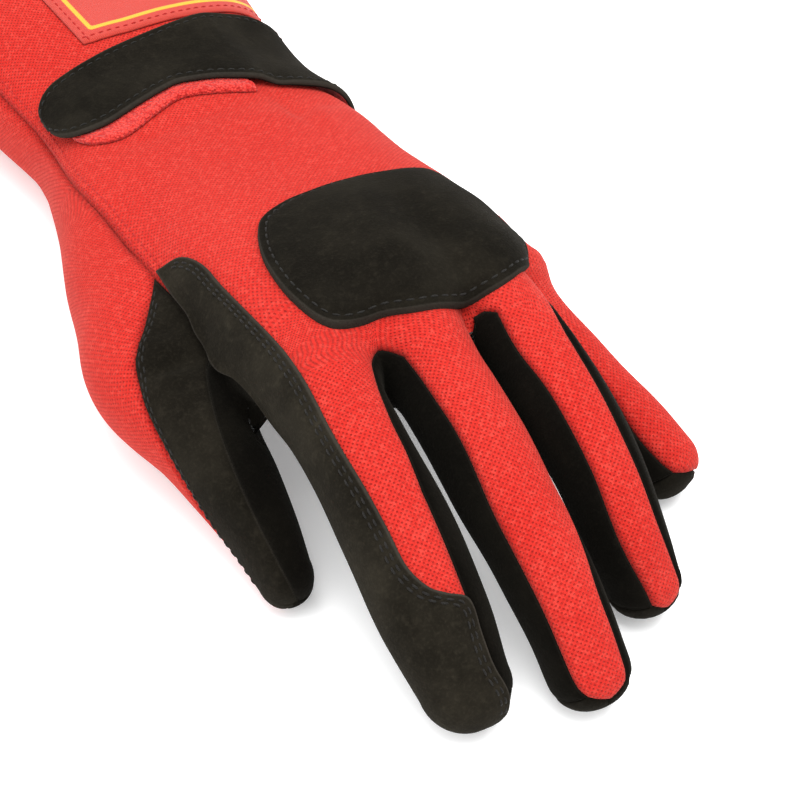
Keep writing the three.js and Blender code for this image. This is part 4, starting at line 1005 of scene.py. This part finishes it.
finishes = {
    "knit": makeKnit("redKnit"),
    "knitUnder": makeKnit("redKnitUnder"),
    "suede": makeSuede("blackSuede"),
    "padSuede": makeSuede("padSuede", 0.55, 0.0005, 0.5),
    "palmSuede": makeSuede("palmSuede", 0.5, 0.0004, 0.1),
    "thumbSuede": makeSuede("thumbSuede", 0.72, 0.0004, 0.2),
    # Painted shade: a copy of the suede at about a fifth of its brightness, for the thumb's inner piece and
    # the fourchettes between the fingers.
    "darkSuede": makeSuede("darkSuede", 0.22, 0.0003, 0.1),
    "strapSuede": makeSuede("strapSuede", 0.6, 0.0005, 0.5),
    "loops": makeLoops("redLoops"),
    "label": makeLabel("labelWeave"),
    "darkThread": makeThread("darkThread", (0.004, 0.004, 0.003, 1), (0.014, 0.013, 0.011, 1)),
    "greyThread": makeThread("greyThread", (0.0045, 0.004, 0.0035, 1), (0.015, 0.0135, 0.011, 1)),
    "redThread": makeThread("redThread", (0.26, 0.007, 0.006, 1), (0.42, 0.02, 0.017, 1)),
    "lining": makeLining("lining", (0.008, 0.0075, 0.007, 1), (0.024, 0.023, 0.022, 1)),
}
print("finishes ready")


# The panels: walls 1.6 mm thick, their outside on the skin
panelWall = (-1.6, 0)
backSetup = {"levels": panelWall, "cluster": True, "join": True}
backParts = [backHand] + [backFinger(n, i) for i, n in enumerate(fingerNames)]
backPanel = makeSheet("backPanel", "back_panel", backParts, "knit", **backSetup)
palmSetup = {"levels": panelWall, "cluster": True, "join": True, "spacing": 1.5, "columnSteps": 5}
palmParts = [palmHand] + [palmFinger(n, i) for i, n in enumerate(fingerNames)]
palmPanel = makeSheet("palmPanel", "palm_panel", palmParts, "palmSuede", **palmSetup)
gauntletSetup = {"levels": panelWall, "join": True, "spacing": 1.4, "columnSteps": 12}
gauntletPanel = makeSheet("gauntletPanel", "gauntlet_panel", [gauntletUnder, thumbOutside], "knitUnder",
                          **gauntletSetup)
thumbSetup = {"levels": panelWall, "spacing": 0.9, "roll": (0.6, 1.4)}
thumbUpperPatch = makeSheet("thumbUpperPatch", "thumb_upper_patch", [thumbUpper], "thumbSuede", columnSteps=8,
                            **thumbSetup)
# The thumb's inner piece takes the suede darkened as painted shade.
thumbInnerPatch = makeSheet("thumbInnerPatch", "thumb_inner_patch", [thumbInner], "darkSuede", columnSteps=5,
                            **thumbSetup)
fourchetteSetup = {"levels": panelWall, "spacing": 1.1, "columnSteps": 7, "roll": (0.6, 1.4)}
# The fourchettes take the suede darkened as painted shade.
fourchettes = []
for web, pair in zip(webs, zip(fingerNames, fingerNames[1:])):
    crotch = [np.array([[webLine(web, level, side) for level in webLevels[::-1]] for side in (-1, 0, 1)])]
    parts = [stripHalf(pair[0], web, "right"), crotch, stripHalf(pair[1], web, "left")]
    name = "fourchette" + pair[0].title() + pair[1].title()
    node = "fourchette_" + "_".join(pair)
    fourchettes.append(makeSheet(name, node, parts, "darkSuede", **fourchetteSetup))
print("panels ready")

# The overlays; a channel is a stitch line's inset, depth and width
indexSetup = {"levels": (0.1, 1.1), "spacing": 0.9, "columnSteps": 7, "roll": (0.3, 0.8), "bulge": 0.12,
              "draw": 0.12, "channels": [(1.7, 0.22, 0.5), (2.9, 0.22, 0.5)]}
indexPatch = makeSheet("indexPatch", "index_patch", [indexCover], "suede", **indexSetup)

# The pad: rings of its outline drawn towards the middle, each with its share and its drop below the top
padRings = ((0.0, 0.0), (0.4, 0.0), (0.75, -0.15), (0.9, -0.7), (0.965, -1.35), (1.0, -1.7))
# Its lines start inside the hand: shares of the outline's X and Y, a move to low X, and a height
padStart = {"share": (0.55, 0.9), "left": 1.5, "height": 30.0, "steps": 4}
padPlaces = np.linspace(2, 2 + len(padOutline), padStart["steps"] * len(padOutline) + 1)
padCurve = curveThrough(np.concatenate([padOutline[-2:], padOutline, padOutline[:3]]), padPlaces)
padLattice = []
for share, drop in padRings:
    at = padCentre + (padCurve - padCentre) * share
    start = np.stack([padStart["share"][0] * at[:, 0] - padStart["left"], padStart["share"][1] * at[:, 1],
                      np.full(len(at), padStart["height"])], -1)
    padLattice.append(aim(start, at))
padLattice = np.array(padLattice)
padLattice[:, -1] = padLattice[:, 0]
padRise = np.repeat(np.array(padRings)[:, 1:], padLattice.shape[1], axis=1)
padSetup = {"levels": (0.15, 2.7), "spacing": 0.8, "columnSteps": 2, "extraBlend": 1.2, "roll": (0.25, 0.7),
            "bulge": 0.25, "draw": 0.1, "channels": [(2.1, 0.55, 0.6)], "rise": padRise}
knucklePad = makeSheet("knucklePad", "knuckle_pad", [[padLattice]], "padSuede", **padSetup)

strapSetup = {"levels": (2.0, 3.6), "spacing": 0.8, "columnSteps": 10, "roll": (0.35, 1.2), "bulge": 0.3,
              "draw": 0.1, "channels": [(2.0, 0.22, 0.5)],
              "rise": -np.repeat(np.array(strapDips)[:, None], 5, axis=1)}
wristStrap = makeSheet("wristStrap", "wrist_strap", [bandRows(strapRows, 4)], "strapSuede", lining="loops",
                       **strapSetup)

tapeWaves = {"height": 0.35, "reach": 1.6, "direction": np.array([1.3, 0.9, 0.4]), "rate": 2.1}


# Ripple of the tape's edge: a sine wave along the tape under a bell of the distance to its rim.
def tapeRelief(points, distance):
    bell = tapeWaves["height"] * np.exp(-(distance / tapeWaves["reach"]) ** 2)
    return bell * np.sin(points @ tapeWaves["direction"] * tapeWaves["rate"])


tapeSetup = {"levels": (0.15, 1.7), "spacing": 0.8, "columnSteps": 12, "roll": (0.35, 0.8), "bulge": 0.2,
             "draw": 0.1, "relief": tapeRelief}
loopTape = makeSheet("loopTape", "loop_tape", [bandRows(tapeRows, 3)], "loops", lining="loops", **tapeSetup)
labelSetup = {"levels": (0.15, 1.15), "spacing": 0.9, "columnSteps": 6, "roll": (0.3, 0.9), "bulge": 0.15,
              "draw": 0.1, "channels": [(1.7, 0.15, 0.5)]}
labelPatch = makeSheet("labelPatch", "label_patch", [bandRows(labelRows, 6)], "label", **labelSetup)
print("patches ready")

# Rows of stitches: sheet, its sides, insets from them, rows used, thread, slot, then pitch, length and radius
stitching = {
    "padStitches": (knucklePad, ["bottom"], [2.1], None, "greyThread", "black_suede_patch", (2.7, 2.1, 0.24)),
    "patchStitches": (indexPatch, ["right"], [1.7, 2.9], (6, -8), "greyThread", "black_suede_patch",
                      (2.5, 1.9, 0.24)),
    "strapStitches": (wristStrap, ["left", "right"], [2.0], None, "darkThread", "strap_suede",
                      (2.6, 2.0, 0.22)),
    "labelStitches": (labelPatch, ["left", "right", "top", "bottom"], [1.7], None, "redThread", "red_label",
                      (2.2, 1.7, 0.2)),
    "thumbStitches": (thumbUpperPatch, ["left"], [1.3, 2.4], (4, -16), "greyThread", "black_suede_thumb",
                      (2.5, 1.9, 0.22)),
    "hemStitches": (backPanel, ["top"], [14.0, 16.5], None, "redThread", "red_knit", (2.8, 2.2, 0.22)),
    "seamStitches": (backPanel, ["left"], [1.6, 3.4], (6, -30), "redThread", "red_knit", (2.2, 1.7, 0.2)),
}
for name, (made, sides, insets, rows, thread, slot, sizes) in stitching.items():
    paths = [insetPath(made, side, inset, rows) for side in sides for inset in insets]
    points, faces = stitchRun(paths, *sizes)
    piece = putMesh(name, points, faces, [finishes[thread]])
    print(name, len(faces), "triangles")
print("stitching ready")

# Pieces listed by what carries them: for each, the larger of its area and the least share of its flat size is
# worked out, and not kept
sheets = {
    "palm_panel": [backPanel, thumbUpperPatch, *fourchettes], "gauntlet_panel": [palmPanel],
    "back_panel": [indexPatch, wristStrap, loopTape, labelPatch], "thumb_upper_patch": [thumbInnerPatch],
    "": [gauntletPanel],
}
leastCut = 0.31  # least share of the flat size that a cut covers
for carrier, panels in sheets.items():
    for made in panels:
        wide = made["flat"][0]
        long = max(made["flat"][1], made["area"] / wide)
        max(made["area"], leastCut * wide * long)

# Floor and lights
floorSetup = {"size": 3.0, "colour": (0.93, 0.93, 0.93, 1), "glow": 0.25}
floorMesh = bpy.data.meshes.new("floor")
half = floorSetup["size"]
corners = [(-half, -half, 0), (half, -half, 0), (half, half, 0), (-half, half, 0)]
floorMesh.from_pydata(corners, [], [(0, 1, 2, 3)])
floor = putObject("floor", floorMesh)
floorFinish = Finish("floorPaper", Roughness=0.8, Base_Color=floorSetup["colour"], Specular_IOR_Level=0.1,
                     Emission_Color=(1, 1, 1, 1), Emission_Strength=floorSetup["glow"])
floorMesh.materials.append(floorFinish.material)

lampAim = Vector((0, -0.03, 0.02))
lights = {
    "key": {"place": (0.10, -0.12, 0.98), "size": 0.9, "power": 15.0},
    "fill": {"place": (-0.75, -0.55, 0.75), "size": 1.1, "power": 6.0},
}
for name, setup in lights.items():
    lampData = bpy.data.lights.new(name, "AREA")
    lampData.size = setup["size"]
    lampData.energy = setup["power"]
    lamp = putObject(name, lampData)
    lamp.location = setup["place"]
    lamp.rotation_euler = turnFor(Vector(setup["place"]) - lampAim)
world = bpy.data.worlds.new("studio")
world.use_nodes = True
background = world.node_tree.nodes["Background"]
background.inputs[0].default_value = (1, 1, 1, 1)
background.inputs[1].default_value = 1.0
bpy.context.scene.world = world
bpy.context.scene.view_settings.view_transform = "Standard"
bpy.context.scene.view_settings.look = "None"
